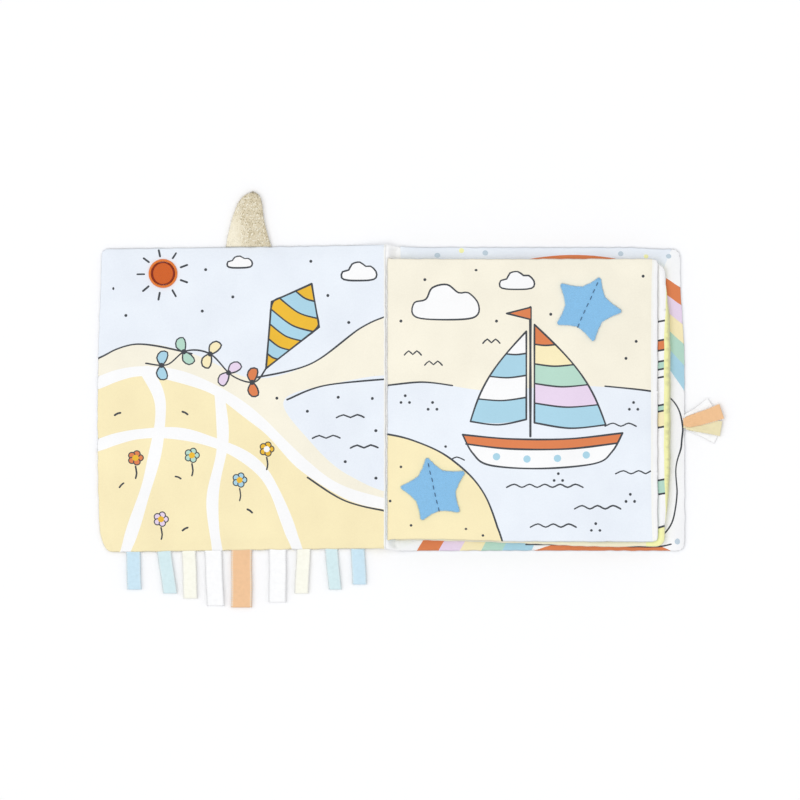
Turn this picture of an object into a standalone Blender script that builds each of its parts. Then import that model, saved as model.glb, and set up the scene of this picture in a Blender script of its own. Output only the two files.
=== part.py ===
"""A crinkle cloth book for a baby, lying open on a table.

Two padded covers lie either side of a puffy spine, and two leaves are sewn in over the back cover.
Each cover holds wadding and a crinkle film between two cloths, and each leaf a film between two cloths.
Ribbon tags hang from the front cover's lower edge, a padded tab stands on its upper edge, and four
gathered ribbons are sewn into the back cover's fore-edge.

Units are metres and +Z is up. The origin is on the table under the middle of the spine. Y runs along
the spine and +X across the back cover. The covers and leaves all turn about one line over the spine.
"""

import math

import bmesh
import bpy
from mathutils import Matrix, Vector

# Gaps: between pieces that touch, and between the layers inside a panel
CLEARANCE = 0.0003
INNER_CLEARANCE = 0.0004

# Covers
COVER_WIDTH = 0.1680
COVER_HEIGHT = 0.1800
COVER_THICKNESS = 0.0050
COVER_FABRIC = 0.0005
COVER_SEAM_HEIGHT = 0.0022
COVER_ROLL = 0.0140
COVER_CORNER = 0.0045
COVER_DRAW_IN = 0.0007
COVER_FLAT_CUT = 0.0005
COVER_FILLING_INSET = 0.0040

# Spine strip
SPINE_WIDTH = 0.0078
SPINE_THICKNESS = 0.0046
SPINE_EDGE = 0.0015
SPINE_ROLL = 0.0039
SPINE_CORNER = 0.0015

# Leaves: a root is where the leaf is sewn in, and a drop is how far it is sewn below the covers' middle
LEAF_WIDTH = 0.1594
LEAF_HEIGHT = 0.1665
LEAF_THICKNESS = 0.0030
LEAF_FABRIC = 0.0004
LEAF_ROLL = 0.0100
LEAF_CORNER = 0.0060
LEAF_DRAW_IN = 0.0006
LEAF_FILM_INSET = 0.0050
LEAF_ROOT_RISE = 0.0100
LEAF_1_ROOT = -0.0029
LEAF_1_DROP = 0.0003
LEAF_2_ROOT = 0.0012
LEAF_2_DROP = 0.0029
LEAF_2_BACK_ROLL_OUT = 0.0026
ROLL_OUT_LENGTH_SHARE = 0.85
ROLL_OUT_POWER_ACROSS = 8
ROLL_OUT_POWER_ALONG = 4

# Crinkle film
FILM_THICKNESS = 0.0003

# The lowest share of the crown's height that is left just inside the rolled edge
CROWN_RIM_SHARE = 0.80

# Felt stars on leaf 1, with the stitches that hold them
STAR_OUTER_RADIUS = 0.0203
STAR_INNER_RADIUS = 0.0126
STAR_TIP_RADIUS = 0.0012
FELT_THICKNESS = 0.0010
STITCH_LENGTH = 0.0026
STITCH_WIDTH = 0.0005
STITCH_HEIGHT = 0.0004
STITCH_COUNT = 7
STITCH_START_SHARE = 0.74
STITCH_END_SHARE = -0.56
STAR_TIPS = 5
# Each star's place, as shares of the leaf's half width and half height, and the way its first tip points
STAR_UPPER_SHARES = (0.464, 0.650)
STAR_UPPER_TURN_DEG = 65.6
STAR_LOWER_SHARES = (-0.659, -0.640)
STAR_LOWER_TURN_DEG = 103.0

# Round patch on the front cover, with its raised ring of stitching. Its place is given as shares of the
# cover's half width and half height.
PATCH_SHARES = (-0.560, 0.820)
PATCH_RADIUS = 0.0082
PATCH_THICKNESS = 0.0008
PATCH_RING_RADIUS = 0.0071
PATCH_RING_WIRE = 0.0004

# Ribbon tags: each is a loop folded flat, and hangs from the cover's lower edge
RIBBON_THICKNESS = 0.00035
RIBBON_NARROW = 0.0084
RIBBON_MEDIUM = 0.0104
RIBBON_WIDE = 0.0124
LOOP_FOLD_RADIUS = 0.0007
LOOP_GROUND_CLEARANCE = 0.0002
LONGEST_TAG = 0.0329
# Each tag's width, then its place along the cover from the fore-edge, its length as a share of the
# longest and its slant as a share of its length
TAG_SHARES = (
    (RIBBON_NARROW, 0.116, 0.68, 0.03),
    (RIBBON_NARROW, 0.224, 0.75, 0.14),
    (RIBBON_NARROW, 0.310, 0.84, 0.04),
    (RIBBON_MEDIUM, 0.396, 0.97, 0.04),
    (RIBBON_WIDE, 0.495, 1.00, 0.00),
    (RIBBON_MEDIUM, 0.621, 0.91, 0.00),
    (RIBBON_NARROW, 0.712, 0.75, -0.05),
    (RIBBON_NARROW, 0.810, 0.68, 0.07),
    (RIBBON_NARROW, 0.902, 0.59, 0.05),
)

# Padded tab on the upper edge, placed by a share of the cover's half width
TAB_PLACE_SHARE = 0.045
TAB_WIDTH = 0.0255
TAB_LENGTH = 0.0315
TAB_THICKNESS = 0.0041
TAB_FABRIC = 0.0005
TAB_LEAN = 0.0015
TAB_BELLY = 0.0008
TAB_TAPER_POWER = 0.45
TAB_TIP_SHARE = 0.985
TAB_FILLING_SHARE = 0.80
TAB_SWELL_POWER = 0.5

# Gathered ribbons on the back cover's fore-edge, placed by a share of its half height
TAIL_PLACE_SHARE = -0.157
TAIL_ROOT_WIDTH = 0.0046
TAIL_DROP_SHARE = 0.55
TAIL_FAN_POWER = 0.25
# Each ribbon's name, its width, its length, the angle it fans out at and its place at the root,
# as a share of the root's width. The first is the lowest in the stack.
TAIL_RIBBONS = (
    ("tail_ribbon_white_lower", 0.0084, 0.0205, -27.0, -0.30),
    ("tail_ribbon_white_upper", 0.0104, 0.0190, 27.0, 0.55),
    ("tail_ribbon_green", 0.0084, 0.0212, -7.0, -0.15),
    ("tail_ribbon_orange", 0.0096, 0.0222, 18.0, 0.15),
)

# Grid counts, and the steepest fold that is still shaded smooth
SHEET_SEGMENTS = 12
FILLING_SEGMENTS = 8
TAG_STEPS = 4
TAIL_STEPS_ALONG = 8
TAIL_STEPS_ACROSS = 3
PATCH_SIDES = 28
RING_STEPS = 24
RING_SIDES = 6
SMOOTH_ANGLE_DEG = 50

# Sizes that follow from the ones above
LEAF_2_LOW = COVER_THICKNESS + CLEARANCE
LEAF_1_LOW = LEAF_2_LOW + LEAF_THICKNESS + CLEARANCE
LEAF_1_HIGH = LEAF_1_LOW + LEAF_THICKNESS
STAR_LOW = LEAF_1_HIGH + CLEARANCE
STAR_HIGH = STAR_LOW + FELT_THICKNESS
STITCH_LOW = STAR_HIGH + CLEARANCE
CLOSED_COVER_LOW = STITCH_LOW + STITCH_HEIGHT + CLEARANCE
FOLD_AXIS_HEIGHT = (CLOSED_COVER_LOW + COVER_THICKNESS) / 2
COVER_CENTRE_X = SPINE_WIDTH / 2 + CLEARANCE + COVER_WIDTH / 2
LOOP_HALF_ROOT = RIBBON_THICKNESS + CLEARANCE / 2


def clear_scene():
    """Removes whatever the open file holds, so that only the book is left."""
    for old in list(bpy.data.objects):
        bpy.data.objects.remove(old, do_unlink=True)


def cloth(name, red, green, blue, roughness):
    """A plain material in linear colour values."""
    material = bpy.data.materials.new(name)
    material.use_nodes = True
    surface = material.node_tree.nodes["Principled BSDF"]
    surface.inputs["Base Color"].default_value = (red, green, blue, 1)
    surface.inputs["Roughness"].default_value = roughness
    surface.inputs["Metallic"].default_value = 0
    material.diffuse_color = (red, green, blue, 1)
    return material


def hinge(name, x, y, z):
    """An empty on a joint's axis, which carries the pieces that turn about it."""
    pivot = bpy.data.objects.new(name, None)
    pivot.empty_display_size = SPINE_WIDTH
    pivot.location = (x, y, z)
    BOOK.objects.link(pivot)
    return pivot


def finish_piece(name, mesh, material, carrier):
    """Makes a smooth-shaded object of a mesh given in the book's frame, and hangs it on its carrier."""
    data = bpy.data.meshes.new(name)
    bmesh.ops.recalc_face_normals(mesh, faces=mesh.faces)
    mesh.to_mesh(data)
    mesh.free()
    piece = bpy.data.objects.new(name, data)
    piece.data.materials.append(material)
    piece.data.shade_smooth()
    piece.data.set_sharp_from_angle(angle=math.radians(SMOOTH_ANGLE_DEG))
    BOOK.objects.link(piece)
    if carrier:
        piece.data.transform(Matrix.Translation(-carrier.location))
        piece.parent = carrier
    return piece


def slab(name, columns, rows, top, bottom, material, carrier):
    """A closed solid between two surfaces, each a function of a grid that runs from -1 to 1."""
    mesh = bmesh.new()
    bmesh.ops.create_grid(mesh, x_segments=columns, y_segments=rows, size=1)
    made = bmesh.ops.extrude_face_region(mesh, geom=mesh.faces[:], use_keep_orig=True)
    upper = {part for part in made["geom"] if isinstance(part, bmesh.types.BMVert)}
    for vertex in mesh.verts:
        surface = top if vertex in upper else bottom
        vertex.co = surface(vertex.co.x, vertex.co.y)
    return finish_piece(name, mesh, material, carrier)


class Panel:
    """The outline and swell that all the layers of one padded panel share, so that they nest."""

    def __init__(self, centre, size, corner, roll, draw_in):
        self.centre_x, self.centre_y = centre
        self.half_width = size[0] / 2
        self.half_height = size[1] / 2
        self.corner = corner
        self.roll = roll
        self.draw_in = draw_in

    def spread(self, u, v, inset):
        """A grid point inside the outline: rows lie closer at the edges, and the corners are round."""
        x = (self.half_width - inset) * math.sin(u * math.pi / 2)
        y = (self.half_height - inset) * math.sin(v * math.pi / 2)
        over_x = abs(x) - (self.half_width - inset - self.corner)
        over_y = abs(y) - (self.half_height - inset - self.corner)
        if over_x > 0 and over_y > 0:
            pull = max(over_x, over_y) / math.hypot(over_x, over_y)
            x -= math.copysign(over_x * (1 - pull), x)
            y -= math.copysign(over_y * (1 - pull), y)
        return x, y

    def edge_distance(self, x, y):
        """How far a point lies inside the sewn edge."""
        over_x = abs(x) - self.half_width + self.corner
        over_y = abs(y) - self.half_height + self.corner
        outside = math.hypot(max(over_x, 0), max(over_y, 0))
        return self.corner - outside - min(max(over_x, over_y), 0)

    def swell(self, x, y):
        """0 on the sewn edge, then up over the rolled edge to 1 at the middle of the crown."""
        near = min(max(self.edge_distance(x, y) / self.roll, 0), 1)
        rolled = math.sqrt(1 - (1 - near) ** 2)
        dome = (1 - (x / self.half_width) ** 2) * (1 - (y / self.half_height) ** 2)
        return rolled * (CROWN_RIM_SHARE + (1 - CROWN_RIM_SHARE) * max(dome, 0))

    def drawn(self, x, y):
        """Where a point lies once the sides are drawn in between the corners."""
        side = self.draw_in * (1 - (y / self.half_height) ** 2) / self.half_width
        end = self.draw_in * (1 - (x / self.half_width) ** 2) / self.half_height
        return x * (1 - side), y * (1 - end)

    def edge_point(self, x, y):
        """A point of the outline in the book's frame, from its place before the sides are drawn in."""
        drawn_x, drawn_y = self.drawn(x - self.centre_x, y - self.centre_y)
        return self.centre_x + drawn_x, self.centre_y + drawn_y

    def place(self, shares):
        """A point in the book's frame, from shares of the half width and half height."""
        return self.centre_x + shares[0] * self.half_width, self.centre_y + shares[1] * self.half_height

    def surface(self, height, inset, shift):
        """A function from the unit grid to a surface of the given height."""

        def point(u, v):
            x, y = self.spread(u, v, inset)
            drawn_x, drawn_y = self.drawn(x, y)
            drawn_x += shift(x, y)
            return self.centre_x + drawn_x, self.centre_y + drawn_y, height(x, y)

        return point

    def layer(self, name, top, bottom, inset, segments, material, carrier, shift=lambda x, y: 0):
        """One layer of the panel, between two heights."""
        upper = self.surface(top, inset, shift)
        lower = self.surface(bottom, inset, shift)
        return slab(name, segments, segments, upper, lower, material, carrier)


def cover_top(panel, x, y):
    """The height of a cover's inner cloth, on top, at a point measured from the panel's centre."""
    rim = COVER_SEAM_HEIGHT + CLEARANCE / 2 + COVER_FABRIC
    return rim + (COVER_THICKNESS - rim) * panel.swell(x, y)


def make_cover(prefix, panel, lining_material, shell_material, carrier):
    """A cover: outer cloth on the table, wadding, crinkle film, and the printed inner cloth on top."""
    rim_bottom = COVER_SEAM_HEIGHT - CLEARANCE / 2 - COVER_FABRIC
    fall = rim_bottom + COVER_FLAT_CUT

    def inner_top(x, y):
        return cover_top(panel, x, y)

    def inner_under(x, y):
        return inner_top(x, y) - COVER_FABRIC

    def film_top(x, y):
        return inner_under(x, y) - INNER_CLEARANCE

    def film_under(x, y):
        return film_top(x, y) - FILM_THICKNESS

    def batting_top(x, y):
        return film_under(x, y) - INNER_CLEARANCE

    def outer_under(x, y):
        return max(0, rim_bottom - fall * panel.swell(x, y))

    def outer_top(x, y):
        return outer_under(x, y) + COVER_FABRIC

    def batting_under(x, y):
        return outer_top(x, y) + INNER_CLEARANCE

    panel.layer(prefix + "_outer", outer_top, outer_under, 0, SHEET_SEGMENTS, shell_material, carrier)
    panel.layer(
        prefix + "_batting", batting_top, batting_under, COVER_FILLING_INSET, FILLING_SEGMENTS,
        WADDING, carrier,
    )
    panel.layer(
        prefix + "_film", film_top, film_under, COVER_FILLING_INSET, FILLING_SEGMENTS, FILM, carrier,
    )
    panel.layer(prefix + "_inner", inner_top, inner_under, 0, SHEET_SEGMENTS, lining_material, carrier)


def make_spine():
    """The spine: a puffy strip as long as the covers, flat on the table and humped above."""
    panel = Panel((0, 0), (SPINE_WIDTH, COVER_HEIGHT), SPINE_CORNER, SPINE_ROLL, 0)

    def top(x, y):
        return SPINE_EDGE + (SPINE_THICKNESS - SPINE_EDGE) * panel.swell(x, y)

    def bottom(x, y):
        return 0

    carrier = hinge("spine_hinge", 0, 0, FOLD_AXIS_HEIGHT)
    upper = panel.surface(top, 0, lambda x, y: 0)
    lower = panel.surface(bottom, 0, lambda x, y: 0)
    slab("spine_strip", FILLING_SEGMENTS, SHEET_SEGMENTS, upper, lower, SPINE_CLOTH, carrier)


def make_leaf(prefix, root, root_height, low, drop, back_roll_out, front_material, back_material, carrier):
    """A leaf: two cloths sewn together round a crinkle film, thin at its root and swelling outward."""
    centre = (root + LEAF_WIDTH / 2, -drop)
    panel = Panel(centre, (LEAF_WIDTH, LEAF_HEIGHT), LEAF_CORNER, LEAF_ROLL, LEAF_DRAW_IN)
    middle = low + LEAF_THICKNESS / 2
    rise = LEAF_THICKNESS / 2 - CLEARANCE / 2 - LEAF_FABRIC

    def seam(x, y):
        way = min(max((x + panel.half_width) / LEAF_ROOT_RISE, 0), 1)
        return root_height + (middle - root_height) * way * way * (3 - 2 * way)

    def front_under(x, y):
        return seam(x, y) + CLEARANCE / 2 + rise * panel.swell(x, y)

    def front_top(x, y):
        return front_under(x, y) + LEAF_FABRIC

    def back_top(x, y):
        return seam(x, y) - CLEARANCE / 2 - rise * panel.swell(x, y)

    def back_under(x, y):
        return back_top(x, y) - LEAF_FABRIC

    def film_top(x, y):
        return seam(x, y) + FILM_THICKNESS / 2

    def film_under(x, y):
        return seam(x, y) - FILM_THICKNESS / 2

    def roll_out(x, y):
        out = max(x / panel.half_width, 0) ** ROLL_OUT_POWER_ACROSS
        way = abs(y) / (ROLL_OUT_LENGTH_SHARE * panel.half_height)
        along = max(1 - way ** ROLL_OUT_POWER_ALONG, 0)
        return back_roll_out * out * along

    panel.layer(
        prefix + "_back", back_top, back_under, 0, SHEET_SEGMENTS, back_material, carrier, roll_out,
    )
    panel.layer(
        prefix + "_film", film_top, film_under, LEAF_FILM_INSET, FILLING_SEGMENTS, FILM, carrier,
    )
    panel.layer(prefix + "_front", front_top, front_under, 0, SHEET_SEGMENTS, front_material, carrier)
    return panel


def rounded_star(outer, inner, tip_radius, turn):
    """The outline of a star about the origin, with an arc at each tip."""
    points = []
    half_step = math.pi / STAR_TIPS
    for tip in range(STAR_TIPS):
        along = turn + tip * 2 * half_step
        corner = Vector((outer * math.cos(along), outer * math.sin(along)))
        notch = Vector((inner * math.cos(along + half_step), inner * math.sin(along + half_step)))
        half_angle = math.pi - (notch - corner).angle(corner)
        arc_centre = corner - corner.normalized() * tip_radius / math.sin(half_angle)
        sweep = math.pi / 2 - half_angle
        for step in (-1, -0.5, 0, 0.5, 1):
            angle = along + step * sweep
            points.append(arc_centre + tip_radius * Vector((math.cos(angle), math.sin(angle))))
        points.append(notch)
    return points


def make_star(name, panel, shares, turn_degrees, carrier):
    """A felt star lying on leaf 1, held by one row of stitches from its first tip to the far notch."""
    x, y = panel.place(shares)
    turn = math.radians(turn_degrees)
    outline = bpy.data.curves.new(name, "CURVE")
    outline.dimensions = "2D"
    outline.fill_mode = "BOTH"
    outline.extrude = FELT_THICKNESS / 2
    points = rounded_star(STAR_OUTER_RADIUS, STAR_INNER_RADIUS, STAR_TIP_RADIUS, turn)
    edge = outline.splines.new("POLY")
    edge.points.add(len(points) - 1)
    for spot, point in zip(edge.points, points):
        spot.co = (point.x, point.y, 0, 1)
    edge.use_cyclic_u = True
    outline.materials.append(FELT)
    star = bpy.data.objects.new(name, outline)
    star.location = Vector((x, y, (STAR_LOW + STAR_HIGH) / 2)) - carrier.location
    star.parent = carrier
    BOOK.objects.link(star)

    along = Vector((math.cos(turn), math.sin(turn)))
    for index in range(STITCH_COUNT):
        way = index / (STITCH_COUNT - 1)
        share = STITCH_START_SHARE + (STITCH_END_SHARE - STITCH_START_SHARE) * way
        spot = Vector((x, y)) + along * share * STAR_OUTER_RADIUS
        place = Matrix.Translation((spot.x, spot.y, STITCH_LOW + STITCH_HEIGHT / 2))
        size = Matrix.Diagonal((STITCH_LENGTH, STITCH_WIDTH, STITCH_HEIGHT, 1))
        stitch = bmesh.new()
        bmesh.ops.create_cube(stitch, size=1, matrix=place @ Matrix.Rotation(turn, 4, "Z") @ size)
        finish_piece("%s_stitch_%d" % (name, index + 1), stitch, THREAD, carrier)


def make_patch(panel, carrier):
    """The round patch, which follows the cover's crown, and the raised ring of satin stitch on its edge."""
    centre_x, centre_y = panel.place(PATCH_SHARES)

    def lay_down(mesh, lift):
        """Moves a flat mesh about the origin to the patch's place, on the cover's cloth."""
        for vertex in mesh.verts:
            x = centre_x + vertex.co.x
            y = centre_y + vertex.co.y
            height = cover_top(panel, x - panel.centre_x, y - panel.centre_y)
            vertex.co = (x, y, height + lift + vertex.co.z)

    disc = bmesh.new()
    bmesh.ops.create_cone(
        disc, cap_ends=True, cap_tris=True, segments=PATCH_SIDES, radius1=PATCH_RADIUS,
        radius2=PATCH_RADIUS, depth=PATCH_THICKNESS,
    )
    lay_down(disc, CLEARANCE + PATCH_THICKNESS / 2)
    finish_piece("disc_patch", disc, PATCH_CLOTH, carrier)

    ring = bmesh.new()
    loop = bmesh.ops.create_circle(ring, segments=RING_SIDES, radius=PATCH_RING_WIRE)["verts"]
    upright = Matrix.Translation((PATCH_RING_RADIUS, 0, 0)) @ Matrix.Rotation(math.pi / 2, 4, "X")
    bmesh.ops.transform(ring, matrix=upright, verts=loop)
    bmesh.ops.spin(
        ring, geom=ring.verts[:] + ring.edges[:], cent=(0, 0, 0), axis=(0, 0, 1), dvec=(0, 0, 0),
        angle=math.tau, steps=RING_STEPS, use_merge=True,
    )
    lay_down(ring, CLEARANCE + PATCH_THICKNESS + CLEARANCE + PATCH_RING_WIRE)
    finish_piece("disc_patch_ring", ring, PATCH_THREAD, carrier)


def make_tag(number, shares, panel):
    """A ribbon folded into a flat loop, sewn into the lower edge and dropping to the table."""
    width, place_share, length_share, slant_share = shares
    length = length_share * LONGEST_TAG
    outline_x = panel.centre_x - panel.half_width + place_share * COVER_WIDTH
    root_x, edge_y = panel.edge_point(outline_x, -panel.half_height)
    root_y = edge_y - CLEARANCE
    root_middle = COVER_SEAM_HEIGHT
    end_middle = LOOP_GROUND_CLEARANCE + RIBBON_THICKNESS / 2 + LOOP_FOLD_RADIUS
    carrier = hinge("tag_%d_hinge" % number, root_x, root_y, root_middle + LOOP_HALF_ROOT)

    straight = length - LOOP_FOLD_RADIUS - RIBBON_THICKNESS / 2
    half_root = LOOP_HALF_ROOT - RIBBON_THICKNESS / 2
    below = []
    above = []
    for step in range(TAG_STEPS + 1):
        way = step / TAG_STEPS
        middle = root_middle + (end_middle - root_middle) * way * way * (3 - 2 * way)
        half = half_root + (LOOP_FOLD_RADIUS - half_root) * way
        below.append((straight * way, middle - half))
        above.append((straight * way, middle + half))
    fold = []
    for turn in (-math.pi / 4, 0, math.pi / 4):
        out = straight + LOOP_FOLD_RADIUS * math.cos(turn)
        fold.append((out, end_middle + LOOP_FOLD_RADIUS * math.sin(turn)))
    profile = below + fold + above[::-1]

    strip = bmesh.new()
    bmesh.ops.create_grid(strip, x_segments=1, y_segments=len(profile) - 1, size=1)
    for vertex in strip.verts:
        index = round((vertex.co.y + 1) / 2 * (len(profile) - 1))
        out, height = profile[index]
        across = vertex.co.x * width / 2
        vertex.co = (root_x + across + slant_share * out, root_y - out, height)
    tag = finish_piece("tag_%d" % number, strip, RIBBONS[number - 1], carrier)
    thicken = tag.modifiers.new("ribbon thickness", "SOLIDIFY")
    thicken.thickness = RIBBON_THICKNESS
    thicken.offset = 0
    thicken.use_even_offset = True


def make_tab(panel):
    """The padded tab: two cloths round a filling, pinched where it is sewn into the upper edge."""
    outline_x = panel.centre_x + TAB_PLACE_SHARE * panel.half_width
    root_x, edge_y = panel.edge_point(outline_x, panel.half_height)
    root_y = edge_y + CLEARANCE
    rim = CLEARANCE / 2 + TAB_FABRIC
    rise = TAB_THICKNESS / 2 - rim
    carrier = hinge("tab_hinge", root_x, root_y, COVER_SEAM_HEIGHT + rim)

    def outline(u, v, share):
        """A point of the tab's plan, with share less than 1 for what lies inside it."""
        along = 0.5 + 0.5 * share * math.sin(v * math.pi / 2)
        way = TAB_TIP_SHARE * along
        lean = TAB_LEAN * way * way - TAB_BELLY * math.sin(math.pi * way)
        across = share * math.sin(u * math.pi / 2) * TAB_WIDTH / 2 * (1 - way) ** TAB_TAPER_POWER
        return root_x + lean + across, root_y + TAB_LENGTH * along, along

    def swell(u, along, share):
        across = math.sin(u * math.pi / 2) * share
        return math.sqrt(1 - across ** 2) * max(math.sin(math.pi * along), 0) ** TAB_SWELL_POWER

    def sheet(side, offset, share):
        def point(u, v):
            x, y, along = outline(u, v, share)
            return x, y, COVER_SEAM_HEIGHT + side * (offset + rise * swell(u, along, share))

        return point

    segments = FILLING_SEGMENTS
    slab("tab_front", segments, segments, sheet(1, rim, 1), sheet(1, CLEARANCE / 2, 1), TAB_CLOTH, carrier)
    slab("tab_back", segments, segments, sheet(-1, CLEARANCE / 2, 1), sheet(-1, rim, 1), TAB_CLOTH, carrier)
    inside = CLEARANCE / 2 - INNER_CLEARANCE
    slab(
        "tab_filling", segments, segments, sheet(1, inside, TAB_FILLING_SHARE),
        sheet(-1, inside, TAB_FILLING_SHARE), WADDING, carrier,
    )


def make_tail(panel):
    """Four ribbons gathered into one point of the back cover's fore-edge, fanning out as they drop."""
    outline_y = TAIL_PLACE_SHARE * panel.half_height
    edge_x, root_y = panel.edge_point(panel.centre_x + panel.half_width, outline_y)
    root_x = edge_x + CLEARANCE
    stack_step = RIBBON_THICKNESS + CLEARANCE
    stack_low = COVER_SEAM_HEIGHT - stack_step * len(TAIL_RIBBONS) / 2
    stack_high = stack_low + stack_step * len(TAIL_RIBBONS)
    carrier = hinge("tail_hinge", root_x, root_y, stack_high)

    for index, (name, width, length, fan_degrees, place_share) in enumerate(TAIL_RIBBONS):
        fan = math.radians(fan_degrees)
        low = stack_low + index * stack_step

        def sheet(lift, width=width, length=length, fan=fan, low=low, place_share=place_share):
            def point(u, v):
                way = (u + 1) / 2
                spread = TAIL_ROOT_WIDTH + (width - TAIL_ROOT_WIDTH) * math.sqrt(way)
                turn = fan * way ** TAIL_FAN_POWER
                across = v * spread / 2 + place_share * TAIL_ROOT_WIDTH * (1 - way)
                x = root_x + length * way * math.cos(turn) - across * math.sin(turn) * way
                y = root_y + length * way * math.sin(turn) + across * math.cos(turn)
                drop = stack_low * TAIL_DROP_SHARE * math.sin(way * math.pi / 2)
                return x, y, low + lift - drop

            return point

        slab(
            name, TAIL_STEPS_ALONG, TAIL_STEPS_ACROSS, sheet(RIBBON_THICKNESS), sheet(0),
            TAIL_CLOTHS[index], carrier,
        )


clear_scene()
BOOK = bpy.data.collections.new("crinkle_cloth_book")
bpy.context.scene.collection.children.link(BOOK)

PAGE_YELLOW = cloth("printed_cloth_yellow", 0.96, 0.83, 0.52, 0.6)
PAGE_ICE = cloth("printed_cloth_ice_blue", 0.82, 0.87, 0.96, 0.6)
PAGE_CREAM = cloth("printed_cloth_cream", 0.90, 0.87, 0.73, 0.6)
PAGE_LEMON = cloth("printed_cloth_lemon", 0.92, 0.90, 0.35, 0.6)
COVER_PRINT = cloth("printed_cloth_cover", 0.85, 0.90, 0.94, 0.6)
SPINE_CLOTH = cloth("white_cloth", 0.90, 0.91, 0.93, 0.6)
WADDING = cloth("polyester_wadding", 0.92, 0.92, 0.90, 0.9)
FILM = cloth("crinkle_film", 0.80, 0.80, 0.80, 0.2)
FELT = cloth("blue_felt", 0.24, 0.52, 0.78, 0.95)
THREAD = cloth("dark_thread", 0.06, 0.12, 0.22, 0.7)
PATCH_CLOTH = cloth("orange_felt", 0.68, 0.13, 0.02, 0.8)
PATCH_THREAD = cloth("rust_thread", 0.40, 0.05, 0.01, 0.5)
TAB_CLOTH = cloth("sparkle_plush", 0.72, 0.64, 0.46, 0.9)
RIBBON_BLUE = cloth("blue_ribbon", 0.50, 0.74, 0.86, 0.4)
RIBBON_TEAL = cloth("teal_ribbon", 0.58, 0.79, 0.82, 0.4)
RIBBON_YELLOW = cloth("pale_yellow_ribbon", 0.92, 0.90, 0.73, 0.4)
RIBBON_WHITE = cloth("white_ribbon", 0.92, 0.93, 0.95, 0.4)
RIBBON_ORANGE = cloth("orange_ribbon", 0.80, 0.50, 0.27, 0.45)
RIBBON_GREEN = cloth("green_ribbon", 0.72, 0.80, 0.50, 0.4)
RIBBONS = (
    RIBBON_BLUE, RIBBON_TEAL, RIBBON_YELLOW, RIBBON_WHITE, RIBBON_ORANGE,
    RIBBON_WHITE, RIBBON_YELLOW, RIBBON_TEAL, RIBBON_BLUE,
)
TAIL_CLOTHS = (RIBBON_WHITE, RIBBON_WHITE, RIBBON_GREEN, RIBBON_ORANGE)

COVER_SIZE = (COVER_WIDTH, COVER_HEIGHT)
back_panel = Panel((COVER_CENTRE_X, 0), COVER_SIZE, COVER_CORNER, COVER_ROLL, COVER_DRAW_IN)
front_panel = Panel((-COVER_CENTRE_X, 0), COVER_SIZE, COVER_CORNER, COVER_ROLL, COVER_DRAW_IN)
front_hinge = hinge("front_cover_hinge", 0, 0, FOLD_AXIS_HEIGHT)
leaf_2_hinge = hinge("leaf_2_hinge", 0, 0, FOLD_AXIS_HEIGHT)
leaf_1_hinge = hinge("leaf_1_hinge", 0, 0, FOLD_AXIS_HEIGHT)

make_cover("back_cover", back_panel, PAGE_ICE, COVER_PRINT, None)
make_cover("front_cover", front_panel, PAGE_YELLOW, COVER_PRINT, front_hinge)
make_spine()
make_leaf(
    "leaf_2", LEAF_2_ROOT, LEAF_2_LOW + CLEARANCE / 2 + LEAF_FABRIC, LEAF_2_LOW, LEAF_2_DROP,
    LEAF_2_BACK_ROLL_OUT, PAGE_CREAM, PAGE_LEMON, leaf_2_hinge,
)
leaf_panel = make_leaf(
    "leaf_1", LEAF_1_ROOT, FOLD_AXIS_HEIGHT, LEAF_1_LOW, LEAF_1_DROP, 0, PAGE_ICE, PAGE_CREAM,
    leaf_1_hinge,
)
make_star("star_upper", leaf_panel, STAR_UPPER_SHARES, STAR_UPPER_TURN_DEG, leaf_1_hinge)
make_star("star_lower", leaf_panel, STAR_LOWER_SHARES, STAR_LOWER_TURN_DEG, leaf_1_hinge)
make_patch(front_panel, front_hinge)
for tag_index, tag_shares in enumerate(TAG_SHARES):
    make_tag(tag_index + 1, tag_shares, front_panel)
make_tab(front_panel)
make_tail(back_panel)
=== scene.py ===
# %% [markdown]
# A crinkle cloth book for a baby lies open on a table, seen from straight above.
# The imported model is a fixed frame: each piece below goes where its solids are, and rides on its bodies.

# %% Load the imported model
import math

import bmesh
import bpy
import numpy as np
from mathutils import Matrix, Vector
from mathutils.geometry import delaunay_2d_cdt


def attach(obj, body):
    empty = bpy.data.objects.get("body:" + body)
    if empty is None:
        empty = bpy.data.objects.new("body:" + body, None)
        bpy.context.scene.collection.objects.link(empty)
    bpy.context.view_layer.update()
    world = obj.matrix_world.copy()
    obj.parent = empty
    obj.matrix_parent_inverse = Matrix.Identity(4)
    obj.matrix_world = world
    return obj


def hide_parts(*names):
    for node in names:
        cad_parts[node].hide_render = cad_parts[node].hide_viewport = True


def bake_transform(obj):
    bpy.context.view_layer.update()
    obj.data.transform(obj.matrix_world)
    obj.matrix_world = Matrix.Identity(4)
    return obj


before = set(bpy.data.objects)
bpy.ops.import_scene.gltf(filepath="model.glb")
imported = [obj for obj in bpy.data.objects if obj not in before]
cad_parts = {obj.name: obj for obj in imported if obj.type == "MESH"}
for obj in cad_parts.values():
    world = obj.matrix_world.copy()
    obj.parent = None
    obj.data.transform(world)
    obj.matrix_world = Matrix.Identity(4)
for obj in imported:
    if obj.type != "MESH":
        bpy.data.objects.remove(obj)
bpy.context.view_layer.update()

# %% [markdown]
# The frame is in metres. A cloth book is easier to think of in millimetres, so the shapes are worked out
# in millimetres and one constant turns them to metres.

MM = 0.001
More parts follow.
